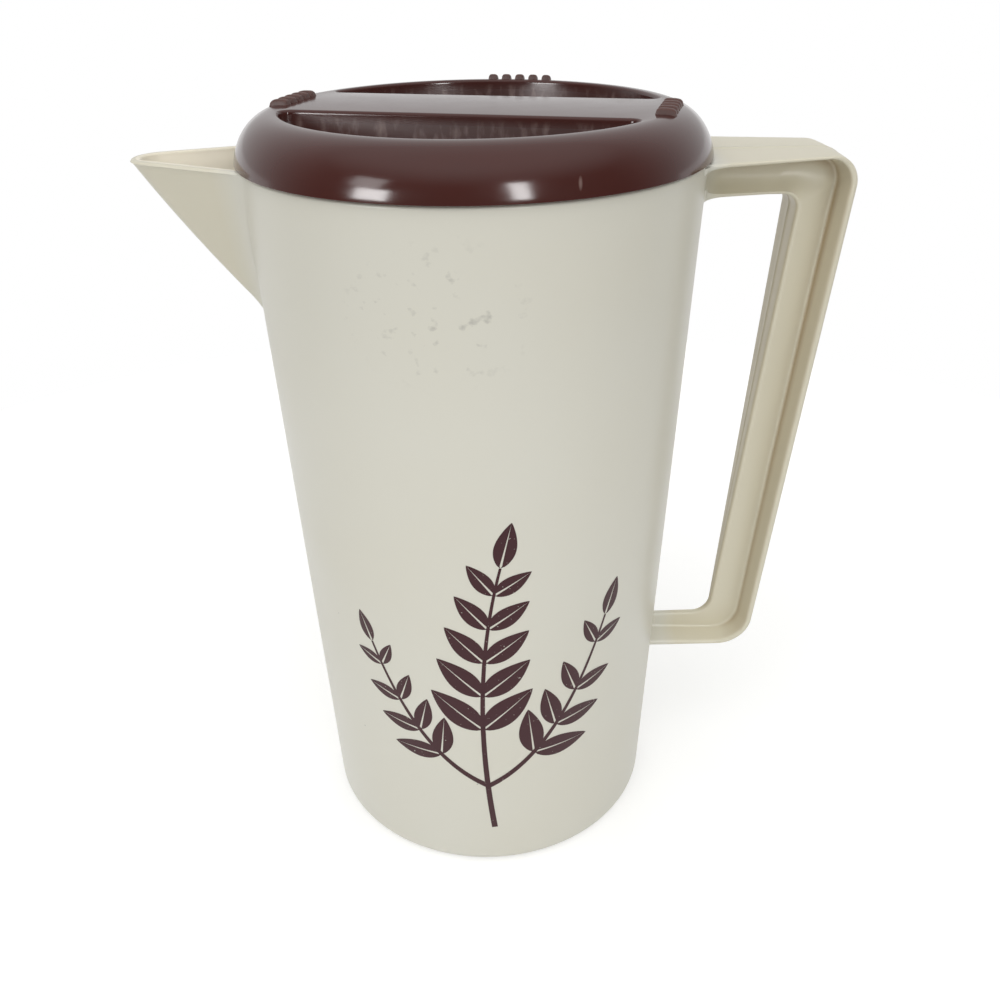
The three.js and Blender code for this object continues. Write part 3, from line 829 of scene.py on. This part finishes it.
def leaf_spray(leaves):
    """Patches of an upright spray: a stem, two more that leave it near its foot, and leaves in pairs."""
    fork = (-0.6, 36)
    # Line of a stem, share of it below the first leaves, pairs of leaves, size of the largest
    stems = [
        (stem_line((1, 17), (-6, 76), (4, 119)), 0.4, 5, 1.0),
        (stem_line(fork, (-22, 49), (-36, 87)), 0.38, 4, 0.74),
        (stem_line(fork, (22, 50), (37, 94)), 0.34, 4, 0.86),
    ]
    patches = []
    for line, first, count, largest in stems:
        patches.append(ribbon(line, np.linspace(leaves.stem, leaves.stem * STEM_TIP, len(line))))
        along = np.gradient(line, axis=0)
        headings = np.arctan2(along[:, 1], along[:, 0])
        for k, at in enumerate(np.linspace(first, LAST_LEAVES, count)):
            at = int(at * (len(line) - 1))
            size = largest * (1 - LEAF_FALL * k / (count - 1))
            for turned_by in (LEAF_ANGLE, -LEAF_ANGLE):
                patches += leaf_halves(leaves, line[at], headings[at] + turned_by, size)
        patches += leaf_halves(leaves, line[-1], headings[-1], largest * END_LEAF)
    return patches


# Handle

# Half widths of the parting line's ridge at its top and at its foot
FLASH_TOP = 0.12 * MM
FLASH_FOOT = 0.3 * MM

# Where the inner face is broad, the web is this share of it, less a step
BROAD_WAIST = 0.7
WAIST_STEP = 2 * MM
NOSE_LIMIT = 0.7
ARM_HOLLOW = 3


def handle_line(jug, handle, arm_depth, grip_depth, foot_depth, radii):
    """Side view of the loop from inside the upper wall round to inside the lower wall, as (x, z) points."""
    top, foot = handle.top, HANDLE_FOOT
    corner = RIM_RADIUS + handle.reach
    foot_corner = wall_radius(jug, foot) + handle.foot_reach
    lean = (corner - foot_corner) / (top - foot)

    def grip_at(height):
        return foot_corner - grip_depth + lean * (height - foot)

    upper, lower = top - arm_depth, foot + foot_depth
    arm_sunk, foot_sunk = handle.root_width / 5, handle.foot_width / 5
    corners = [
        (RIM_RADIUS - arm_sunk, upper),
        (grip_at(upper), upper),
        (grip_at(lower), lower),
        (jug.base_radius - foot_sunk, lower),
    ]
    return rounded_path(corners, radii, HANDLE_STEPS)


def handle_section(handle, depth, flange, lip, thick, hollow):
    """Half section of the handle from the outer face's middle to the inner one's, as (aside, depth).

    The web spreads from its waist at the flange to the inner face: straight where hollow is 1, and later
    where it is more.
    """
    edge = thick / 2
    waist = max(handle.waist * lip, BROAD_WAIST * lip - WAIST_STEP)
    under = thick + handle.crown + handle.slope
    nose = min(handle.lip_round, NOSE_LIMIT * lip)
    ridge = np.array([(0, -1.0), (FLASH_TOP, -1.0), (FLASH_FOOT, 0)])

    across = np.linspace(0, 1, 7)[1:-1]
    face = np.stack([(flange - edge) * across, handle.crown * across ** 2], 1)
    rim = arc((flange - edge, edge + handle.crown), (edge, edge), -90, 90, 8)
    back = np.linspace(rim[-1], (waist + handle.fillet, under), 6)[1:-1]
    corner = arc((waist + handle.fillet, under + handle.fillet), (handle.fillet,) * 2, -90, -180, 6)
    t = np.linspace(0, 1, 13)[1:-1]
    low, high = under + handle.fillet, depth - nose
    web = np.stack([waist + (lip - waist) * t ** hollow, low + (high - low) * t], 1)
    edge_arc = arc((lip - nose, depth - nose), (nose, nose), 0, 90, 6)
    close = np.stack([np.linspace(lip - nose, ridge[-1][0], 4)[1:-1], np.full(2, depth)], 1)
    outer_ridge = ridge * (1, handle.flash)
    inner_ridge = (0, depth) + outer_ridge[::-1] * (1, -1)
    return np.concatenate([outer_ridge, face, rim, back, corner, web, edge_arc, close, inner_ridge])


def handle_rings(jug, handle):
    """Closed sections along the loop, swelling where they come to the wall, and cut off inside it."""
    outer = handle_line(jug, handle, 0, 0, 0, (handle.top_corner, handle.foot_corner))
    inner = handle_line(
        jug, handle, handle.arm_depth, handle.grip_depth, handle.foot_depth,
        (handle.inner_top_corner, handle.inner_foot_corner),
    )
    top, foot = handle.top, HANDLE_FOOT
    corner = RIM_RADIUS + handle.reach
    arm_start = corner - handle.grip_depth
    arm_end = HANDLE_STEPS[0]
    on_arm = np.interp(np.arange(len(outer)), [arm_end, arm_end + HANDLE_STEPS[1]], [1, 0])
    rings = []
    for (x, z), end, arm in zip(outer, inner, on_arm):
        inward = np.array(end) - (x, z)
        depth = np.linalg.norm(inward)
        inward /= depth
        plan = handle.grip_width + (handle.root_width - handle.grip_width) * (corner - x) / handle.reach
        up = (z - foot) / (top - handle.top_corner - foot)
        grip = handle.foot_width + (handle.grip_width - handle.foot_width) * min(up, 1)
        flange = (grip + (plan - grip) * smooth_step(arm)) / 2
        lip = handle.foot_lip_width + (handle.lip_width - handle.foot_lip_width) * min(max(up, 0), 1)
        towards_wall = np.clip((arm_start - x) / (arm_start - RIM_RADIUS), 0, 1)
        lip = (lip + (handle.arm_lip_width - handle.lip_width) * towards_wall * arm) / 2
        thick = handle.flange + (handle.arm_flange - handle.flange) * arm
        half = handle_section(handle, depth, flange, lip, thick, 1 + ARM_HOLLOW * smooth_step(arm))
        section = np.concatenate([half, (half * (-1, 1))[-2:0:-1]])

        tangent = np.roll(section, -1, 0) - np.roll(section, 1, 0)
        normal = np.stack([tangent[:, 1], -tangent[:, 0]], 1)
        normal /= np.linalg.norm(normal, axis=1)[:, None]
        ring = np.stack([x + inward[0] * section[:, 1], section[:, 0], z + inward[1] * section[:, 1]], 1)
        push = np.stack([inward[0] * normal[:, 1], normal[:, 0], inward[1] * normal[:, 1]], 1)

        away = np.hypot(ring[:, 0], ring[:, 1]) - wall_radius(jug, ring[:, 2])
        near = np.clip(1 - away / handle.root_run, 0, 1)
        swell = handle.root_swell * (1 - np.sqrt(1 - near ** 2))
        swell[(push[:, 2] > 0) & (ring[:, 2] > top - handle.arm_flange)] = 0
        swell[ring[:, 2] < (top + foot) / 2] = 0
        ring += push * swell[:, None]

        radius = np.hypot(ring[:, 0], ring[:, 1])
        kept = np.maximum(radius, wall_radius(jug, ring[:, 2]) - jug.wall / 2)
        ring[:, :2] *= (kept / radius)[:, None]
        rings.append(ring)
    return rings


# Lid


def lid_levels(lid):
    """Heights of the cap's lower edge and of its crest, and the crest's radius."""
    edge = RIM_HEIGHT + lid.seam
    return edge, edge + lid.crest_height, lid.edge_radius - lid.ring_width


def ring_oval(lid, grow):
    """Middle height and half axes of the oval that the ring's section follows, grown by an amount."""
    rise = lid.crest_height + lid.ring_sink
    run = lid.ring_width / math.sqrt(1 - (lid.ring_sink / rise) ** 2)
    return RIM_HEIGHT + lid.seam - lid.ring_sink, run + grow, rise + grow


def ring_height(lid, radius):
    """Height of the cap's top at a radius: flat inside the crest and rounded outside it."""
    middle, run, rise = ring_oval(lid, 0)
    out = np.clip((radius - lid_levels(lid)[2]) / run, 0, 1)
    return middle + rise * np.sqrt(1 - out ** 2)


def well_outline(lid, grow):
    """Outline of the finger well on the bar's +Y side, grown outwards by an amount."""
    radius = lid.edge_radius - lid.ring_width - lid.well_inset + grow
    side = lid.bar_width / 2 - grow
    corner = lid.well_corner + grow
    x = math.sqrt((radius - corner) ** 2 - (side + corner) ** 2)
    meet = math.degrees(math.atan2(side + corner, x))
    return np.concatenate([
        arc((x, side + corner), (corner, corner), -90, meet, 8),
        arc((0, 0), (radius, radius), meet, 180 - meet, 90)[1:-1],
        arc((-x, side + corner), (corner, corner), 180 - meet, 270, 8),
        np.linspace((-x, side), (x, side), 40)[1:-1],
    ])


def both_wells(outline):
    """The outline on one side of the bar and its twin on the other."""
    return [outline, -outline]


def well_skins(profile, lid):
    """Walls and floors of both wells from a profile of (grow, height) points that ends at the floor."""
    skins = []
    for hand in (1, -1):
        rings = [level(hand * well_outline(lid, grow), z) for grow, z in profile]
        skins.append(stitched(rings))
        skins.append((rings[-1], [tuple(range(len(rings[-1])))]))
    return skins


def cap_parts(lid):
    """Skins of the cap: the turned ring, the flat with its wells, and the hollow with the wells' cups."""
    edge, crest, crest_radius = lid_levels(lid)
    ceiling = crest - lid.shell

    def oval(grow, start, stop, steps):
        middle, run, rise = ring_oval(lid, grow)
        low = math.degrees(math.asin((edge - middle) / rise))
        return arc((crest_radius, middle), (run, rise), start or low, stop or low, steps)

    soft = lid.well_edge
    cup_reach = crest_radius - lid.well_inset + lid.shell + 2 * soft
    over = oval(0, None, 90, 40)
    under = [p for p in oval(-lid.shell, 90, None, 20) if p[0] > cup_reach + soft / 2]
    # Lower edge, rounded in short steps
    foot = [
        (under[-1][0] + lid.edge_round, edge),
        (over[0][0] - 2 * lid.edge_round, edge),
        (over[0][0] - 0.6 * lid.edge_round, edge + 0.1 * lid.edge_round),
        (over[0][0] - 0.1 * lid.edge_round, edge + 0.5 * lid.edge_round),
    ]
    ring = turned([(cup_reach, ceiling), *under[:-1], *foot, *over[1:]])

    floor = crest - lid.well_depth
    mouth = arc((soft, crest - soft), (soft, soft), 90, 175, 8)
    wall = mouth[-1][0] - lid.well_draft
    curve = lid.well_floor_round
    foot = arc((wall - curve, floor + curve), (curve, curve), 0, -90, 6)
    well = [*mouth, *foot]

    cup_top = arc((lid.shell + soft, ceiling - soft), (soft, soft), 90, 180, 5)
    cup_side = lid.shell - lid.well_draft
    cup_foot = arc((cup_side - lid.shell, floor), (lid.shell, lid.shell), 0, -90, 6)
    cup = [*cup_top, *cup_foot]

    circle = turned([(1, 0)])[0][:, :2]
    return [
        stitched(ring),
        plate(circle * crest_radius, both_wells(well_outline(lid, well[0][0])), crest),
        plate(circle * cup_reach, both_wells(well_outline(lid, cup[0][0])), ceiling),
        *well_skins(well, lid),
        *well_skins(cup, lid),
    ]


def mark_parts(lid):
    """Rounded ribs in three groups on the ring: at both ends of the bar and at the back."""
    crest_radius = lid_levels(lid)[2]
    outer = crest_radius - lid.mark_inset + lid.mark_length
    sunk = 0.25 * MM
    across = np.linspace(-1, 1, 15)
    parts = []
    for angle in (0, math.pi / 2, math.pi):
        over_well = abs(math.sin(angle)) > 0.5
        inner = crest_radius - (lid.well_inset - lid.well_edge if over_well else lid.mark_inset)
        for k in range(lid.mark_ribs):
            aside = (k - (lid.mark_ribs - 1) / 2) * lid.mark_pitch
            a, b = np.meshgrid(across, across, indexing="ij")
            x = inner + (outer - inner) * (a + 1) / 2
            y = aside + b * lid.mark_width / 2
            # Flat on top with round shoulders, rounder across the rib than along it
            swell = (1 - np.abs(a) ** 6) ** 0.5 * (1 - np.abs(b) ** 4) ** 0.5
            z = ring_height(lid, np.hypot(x, y)) - sunk + (lid.mark_height + sunk) * swell
            points, faces = stitched(np.stack([x, y, z], 2), closed=False)
            parts.append((spun(points, angle), faces))
    return parts


def upright_cutter(width, height, start, reach):
    """Prism along X with a round top, to cut an opening up from the collar's lower edge."""
    round_top = arc((0, height - width / 2), (width / 2, width / 2), 0, 180, 12)
    if width > height:
        corner = height / 4
        round_top = np.concatenate([
            arc((width / 2 - corner, height - corner), (corner, corner), 0, 90, 6),
            arc((corner - width / 2, height - corner), (corner, corner), 90, 180, 6),
        ])
    below = -2 * MM
    outline = np.concatenate([round_top, [(-width / 2, below), (width / 2, below)]])
    rings = [np.column_stack([np.full(len(outline), x), outline]) for x in (start, reach)]
    return stitched(rings, caps=True)


def collar_parts(lid):
    """Turned tube with the seal's groove, closed on itself."""
    inner = COLLAR_RADIUS - lid.collar_wall
    groove_top = RIM_HEIGHT - lid.groove_drop
    groove_low = groove_top - lid.groove_height
    groove = COLLAR_RADIUS - lid.groove_depth
    soft = 0.3 * MM
    profile = [
        (inner, COLLAR_LOW.z + soft),
        (inner + soft, COLLAR_LOW.z),
        (COLLAR_RADIUS - soft, COLLAR_LOW.z),
        (COLLAR_RADIUS, COLLAR_LOW.z + soft),
        (COLLAR_RADIUS, groove_low - soft),
        (COLLAR_RADIUS - soft, groove_low),
        (groove, groove_low),
        (groove, groove_top),
        (COLLAR_RADIUS - soft, groove_top),
        (COLLAR_RADIUS, groove_top + soft),
        (COLLAR_RADIUS, COLLAR_HIGH.z),
        (inner, COLLAR_HIGH.z),
        (inner, COLLAR_LOW.z + soft),
    ]
    return stitched(turned(profile))


def cut_away(piece, cutters):
    """Cuts solids out of a piece and keeps the result as its own mesh."""
    for k, (points, faces) in enumerate(cutters):
        mesh = bpy.data.meshes.new(f"cutter_{k}")
        mesh.from_pydata([tuple(p) for p in points], [], faces)
        cutter = bpy.data.objects.new(f"cutter_{k}", mesh)
        bpy.context.scene.collection.objects.link(cutter)
        modifier = piece.modifiers.new("cut", "BOOLEAN")
        modifier.operation = "DIFFERENCE"
        modifier.object = cutter
        bpy.context.view_layer.update()
        with bpy.context.temp_override(object=piece):
            bpy.ops.object.modifier_apply(modifier=modifier.name)
        bpy.data.objects.remove(cutter)
        bpy.data.meshes.remove(mesh)
    piece.data.shade_smooth()
    piece.data.set_sharp_from_angle(angle=SHARP_EDGE)


# Stage

# Where most light on matt surfaces comes from: over the camera, a little to its left
LIGHT_WAY = (-0.1, -0.73, 0.67)

# Name, azimuth right of the camera's side and elevation in degrees, distance and size in metres, radiance,
# and whether it shows in glossy surfaces and nowhere else, or lights matt ones alone.
LAMPS = [
    ("window_left", -48, 15, 2.0, (0.55, 0.5), 15.0, True),
    ("window_left_upper", -53, 30, 2.0, (0.5, 0.45), 4.0, True),
    ("window_right", 20.5, 23, 2.0, (0.28, 0.85), 15.0, True),
    ("soft_top", -12, 58, 2.4, (1.4, 1.2), 1.6, False),
    ("soft_back", 180, 12, 2.4, (1.6, 0.9), 4.0, False),
]


def add_lamp(name, azimuth, elevation, distance, size, radiance, gloss):
    """Rectangular lamp that points at the jug's rim, for glossy or for matt surfaces."""
    data = bpy.data.lights.new(name, "AREA")
    data.shape = "RECTANGLE"
    data.size, data.size_y = size
    data.energy = math.pi * size[0] * size[1] * radiance
    lamp = bpy.data.objects.new(name, data)
    bpy.context.scene.collection.objects.link(lamp)
    a, e = math.radians(azimuth), math.radians(elevation)
    way = Vector((math.sin(a) * math.cos(e), -math.cos(a) * math.cos(e), math.sin(e)))
    lamp.location = Vector((0, 0, RIM_HEIGHT)) + way * distance
    lamp.rotation_euler = (-way).to_track_quat("-Z", "Y").to_euler()
    lamp.visible_camera = False
    lamp.visible_glossy = gloss
    lamp.visible_diffuse = not gloss


def set_world(stage):
    """Room with a white backdrop.

    Matt surfaces get most light from the room's front, and glossy ones mirror the backdrop.
    """
    world = bpy.data.worlds.new("studio_room")
    bpy.context.scene.world = world
    add = emptied(world)
    rays = add("LightPath")
    way = add("TexCoord")["Generated"]
    axes = add("SeparateXYZ", {"Vector": way})

    facing = add("VectorMath", {"Vector": way, "Vector_001": LIGHT_WAY}, operation="DOT_PRODUCT")["Value"]
    lights = {"To Min": stage.back_light, "To Max": stage.front_light}
    matt = add(
        "MapRange", {"Value": facing, "From Min": -0.1, "From Max": 0.9, **lights},
        interpolation_type="SMOOTHSTEP",
    )["Result"]

    mirrored = {"To Min": stage.front_gloss, "To Max": stage.back_gloss}
    behind = add(
        "MapRange", {"Value": axes["Y"], "From Min": -0.4, "From Max": 0.7, **mirrored},
        interpolation_type="SMOOTHSTEP",
    )["Result"]
    above = add(
        "MapRange", {"Value": axes["Z"], "From Min": 0.45, "From Max": 0.95, "To Max": stage.back_gloss},
        interpolation_type="SMOOTHSTEP",
    )["Result"]
    room = add("Math", {"Value": behind, "Value_001": above}, operation="MAXIMUM")["Value"]
    low = add("Math", {"Value": axes["Z"], "Value_001": 0.05}, operation="LESS_THAN")["Value"]
    far = add("Math", {"Value": axes["Y"], "Value_001": 0.3}, operation="GREATER_THAN")["Value"]
    backdrop = add("Math", {"Value": low, "Value_001": far}, operation="MINIMUM")["Value"]
    gloss = add("Math", {"Value": room, "Value_001": backdrop}, operation="MAXIMUM")["Value"]

    shares = {"Factor_Float": rays["Is Glossy Ray"], "A_Float": matt, "B_Float": gloss}
    lit = add("Mix", shares)["Result_Float"]
    clear = {"Value": rays["Is Camera Ray"], "Value_001": rays["Is Transmission Ray"]}
    seen = add("Math", clear, operation="MAXIMUM")["Value"]
    strength = add("Mix", {"Factor_Float": seen, "A_Float": lit, "B_Float": 1.0})["Result_Float"]
    sky = add("Background", {"Color": linear("#ffffff"), "Strength": strength})
    add("OutputWorld", {"Surface": sky["Background"]})


def painted_floor(stage):
    """Board painted matt white."""
    # Paper-like ground. What the camera and reflections see of it is lifted to white, and keeps the shadow.
    material, add = new_material("board_painted_white")
    rays = add("LightPath")
    seen = rays["Is Camera Ray"]
    for ray in ("Is Glossy Ray", "Is Transmission Ray"):
        seen = add("Math", {"Value": seen, "Value_001": rays[ray]}, operation="MAXIMUM")["Value"]
    matt = add("BsdfDiffuse", {"Color": stage.floor_paint})
    lift = add("Math", {"Value": seen, "Value_001": stage.floor_lift}, operation="MULTIPLY")["Value"]
    glow = add("Emission", {"Strength": lift})
    both = add("AddShader", {"Shader": matt["BSDF"], "Shader_001": glow["Emission"]})
    add("OutputMaterial", {"Surface": both["Shader"]})
    return material


def aim_camera(stage):
    """Camera at the photograph's place and angle."""
    data = bpy.data.cameras.new("camera")
    data.sensor_width = 36
    data.lens = stage.focal
    data.clip_start = 0.01
    camera = bpy.data.objects.new("camera", data)
    bpy.context.scene.collection.objects.link(camera)
    yaw, pitch, roll = stage.camera_yaw, stage.camera_pitch, stage.camera_roll
    ahead = Vector((math.sin(yaw) * math.cos(pitch), math.cos(yaw) * math.cos(pitch), -math.sin(pitch)))
    right = Vector((math.cos(yaw), -math.sin(yaw), 0))
    above = right.cross(ahead)
    tilted_right = math.cos(roll) * right + math.sin(roll) * above
    tilted_above = math.cos(roll) * above - math.sin(roll) * right
    axes = Matrix((tilted_right, tilted_above, -ahead)).transposed()
    camera.matrix_world = Matrix.Translation((0, -stage.camera_back, stage.camera_height)) @ axes.to_4x4()
    bpy.context.scene.camera = camera


# Operators


class PITCHER_OT_jug(Operator):
    """Jug with its spout, rim, foot and inside, in one skin"""

    bl_idname = "pitcher.jug"
    bl_label = "Jug"

    def execute(self, context):
        pitcher = context.scene.pitcher
        skin = stitched(jug_rings(pitcher.jug), caps=True)
        make_piece("jug", [skin], ivory_plastic(pitcher), "jug", "jug_body")
        return {"FINISHED"}


class PITCHER_OT_leaf_print(Operator):
    """Leaf spray printed on the front of the jug"""

    bl_idname = "pitcher.leaf_print"
    bl_label = "Leaf print"

    def execute(self, context):
        pitcher = context.scene.pitcher
        patches = leaf_spray(pitcher.leaves)
        film = pitcher.leaves.lift
        parts = [stitched(on_wall(pitcher.jug, rows, film), closed=False) for rows in patches]
        ink = finish_called("screen_print_ink_maroon", screen_ink, pitcher.finish)
        make_piece("leaf_print", parts, ink, "jug", None)
        return {"FINISHED"}


class PITCHER_OT_handle(Operator):
    """Loop handle with a broad outer flange, whose arms run into the wall"""

    bl_idname = "pitcher.handle"
    bl_label = "Handle"

    def execute(self, context):
        pitcher = context.scene.pitcher
        skin = stitched(handle_rings(pitcher.jug, pitcher.handle), caps=True)
        make_piece("loop_handle", [skin], ivory_plastic(pitcher), "jug", "handle")
        return {"FINISHED"}


class PITCHER_OT_lid_cap(Operator):
    """Cap with its rounded ring, grip bar and two finger wells"""

    bl_idname = "pitcher.lid_cap"
    bl_label = "Lid cap"

    def execute(self, context):
        pitcher = context.scene.pitcher
        parts = [(spun(points, pitcher.lid.turn), faces) for points, faces in cap_parts(pitcher.lid)]
        make_piece("lid_shell", parts, gloss_brown(pitcher), "lid", "lid_cap")
        return {"FINISHED"}


class PITCHER_OT_lid_marks(Operator):
    """Raised ribs on the lid's ring that show its three positions"""

    bl_idname = "pitcher.lid_marks"
    bl_label = "Lid marks"

    def execute(self, context):
        pitcher = context.scene.pitcher
        parts = [(spun(points, pitcher.lid.turn), faces) for points, faces in mark_parts(pitcher.lid)]
        make_piece("lid_marks", parts, satin_brown(pitcher), "lid", "lid_cap")
        return {"FINISHED"}


class PITCHER_OT_lid_collar(Operator):
    """Collar under the lid with its pour window, strainer slots and the groove for the seal"""

    bl_idname = "pitcher.lid_collar"
    bl_label = "Lid collar"

    def execute(self, context):
        pitcher = context.scene.pitcher
        lid = pitcher.lid
        tube = collar_parts(lid)
        piece = make_piece("pour_collar", [tube], satin_brown(pitcher), "lid", "lid_collar")
        start, reach = COLLAR_RADIUS / 2, COLLAR_RADIUS * 1.2
        window = upright_cutter(lid.window_width, lid.window_height, start, reach)
        slot = upright_cutter(lid.slot_width, lid.slot_height, start, reach)
        openings = [(window, 0, 0)]
        for k in range(lid.slots):
            openings.append((slot, (k - (lid.slots - 1) / 2) * lid.slot_pitch, math.pi / 2))
        cutters = []
        for (points, faces), aside, angle in openings:
            placed = points + np.array((0, aside, COLLAR_LOW.z))
            cutters.append((spun(placed, angle + lid.turn), faces))
        cut_away(piece, cutters)
        return {"FINISHED"}


class PITCHER_OT_lid_seal(Operator):
    """Soft ring in the collar's groove, with a rounded lip towards the wall"""

    bl_idname = "pitcher.lid_seal"
    bl_label = "Lid seal"

    def execute(self, context):
        pitcher = context.scene.pitcher
        lid = pitcher.lid
        inner = COLLAR_RADIUS - lid.groove_depth + lid.seam
        tall = (SEAL_HIGH.z - SEAL_LOW.z) / 2
        middle = (SEAL_HIGH.z + SEAL_LOW.z) / 2
        lip = arc((SEAL_RADIUS - tall, middle), (tall, tall), -90, 90, 12)
        profile = [(inner, SEAL_HIGH.z), (inner, SEAL_LOW.z), *lip, (inner, SEAL_HIGH.z)]
        silicone = finish_called("silicone_moulded_grey", moulded_silicone, pitcher.finish)
        make_piece("seal_ring", [stitched(turned(profile))], silicone, "seal", "lid_seal")
        return {"FINISHED"}


class PITCHER_OT_stage(Operator):
    """White floor, soft room light, windows that the lid mirrors, and the camera"""

    bl_idname = "pitcher.stage"
    bl_label = "Stage"

    def execute(self, context):
        stage = context.scene.pitcher.stage
        context.scene.view_settings.view_transform = "Standard"
        ground = bmesh.new()
        bmesh.ops.create_circle(ground, cap_ends=True, segments=96, radius=stage.floor_radius)
        mesh = bpy.data.meshes.new("floor")
        ground.to_mesh(mesh)
        ground.free()
        mesh.materials.append(painted_floor(stage))
        floor = bpy.data.objects.new("floor", mesh)
        context.scene.collection.objects.link(floor)

        set_world(stage)
        for lamp in LAMPS:
            add_lamp(*lamp)
        aim_camera(stage)
        return {"FINISHED"}


PIECES = [
    PITCHER_OT_jug,
    PITCHER_OT_leaf_print,
    PITCHER_OT_handle,
    PITCHER_OT_lid_cap,
    PITCHER_OT_lid_marks,
    PITCHER_OT_lid_collar,
    PITCHER_OT_lid_seal,
    PITCHER_OT_stage,
]


class VIEW3D_PT_pitcher(Panel):
    """Lists the pieces and their sizes"""

    bl_label = "Lidded Pitcher"
    bl_space_type = "VIEW_3D"
    bl_region_type = "UI"
    bl_category = "Pitcher"

    def draw(self, context):
        pitcher = context.scene.pitcher
        for operator in PIECES:
            self.layout.operator(operator.bl_idname)
        for part in pitcher.__annotations__:
            group = getattr(pitcher, part)
            box = self.layout.box()
            for name in group.__annotations__:
                box.prop(group, name)


CLASSES = [
    JugSizes,
    HandleSizes,
    LidSizes,
    PrintSizes,
    Finishes,
    StageSettings,
    PitcherSettings,
    *PIECES,
    VIEW3D_PT_pitcher,
]


def register():
    """Adds the classes and the scene's settings."""
    for cls in CLASSES:
        bpy.utils.register_class(cls)
    bpy.types.Scene.pitcher = PointerProperty(type=PitcherSettings)


def unregister():
    """Takes them away again."""
    del bpy.types.Scene.pitcher
    for cls in reversed(CLASSES):
        bpy.utils.unregister_class(cls)


def main():
    """Builds every piece and the stage."""
    register()
    bpy.ops.pitcher.jug()
    bpy.ops.pitcher.leaf_print()
    bpy.ops.pitcher.handle()
    bpy.ops.pitcher.lid_cap()
    bpy.ops.pitcher.lid_marks()
    bpy.ops.pitcher.lid_collar()
    bpy.ops.pitcher.lid_seal()
    bpy.ops.pitcher.stage()


if __name__ == "__main__":
    main()
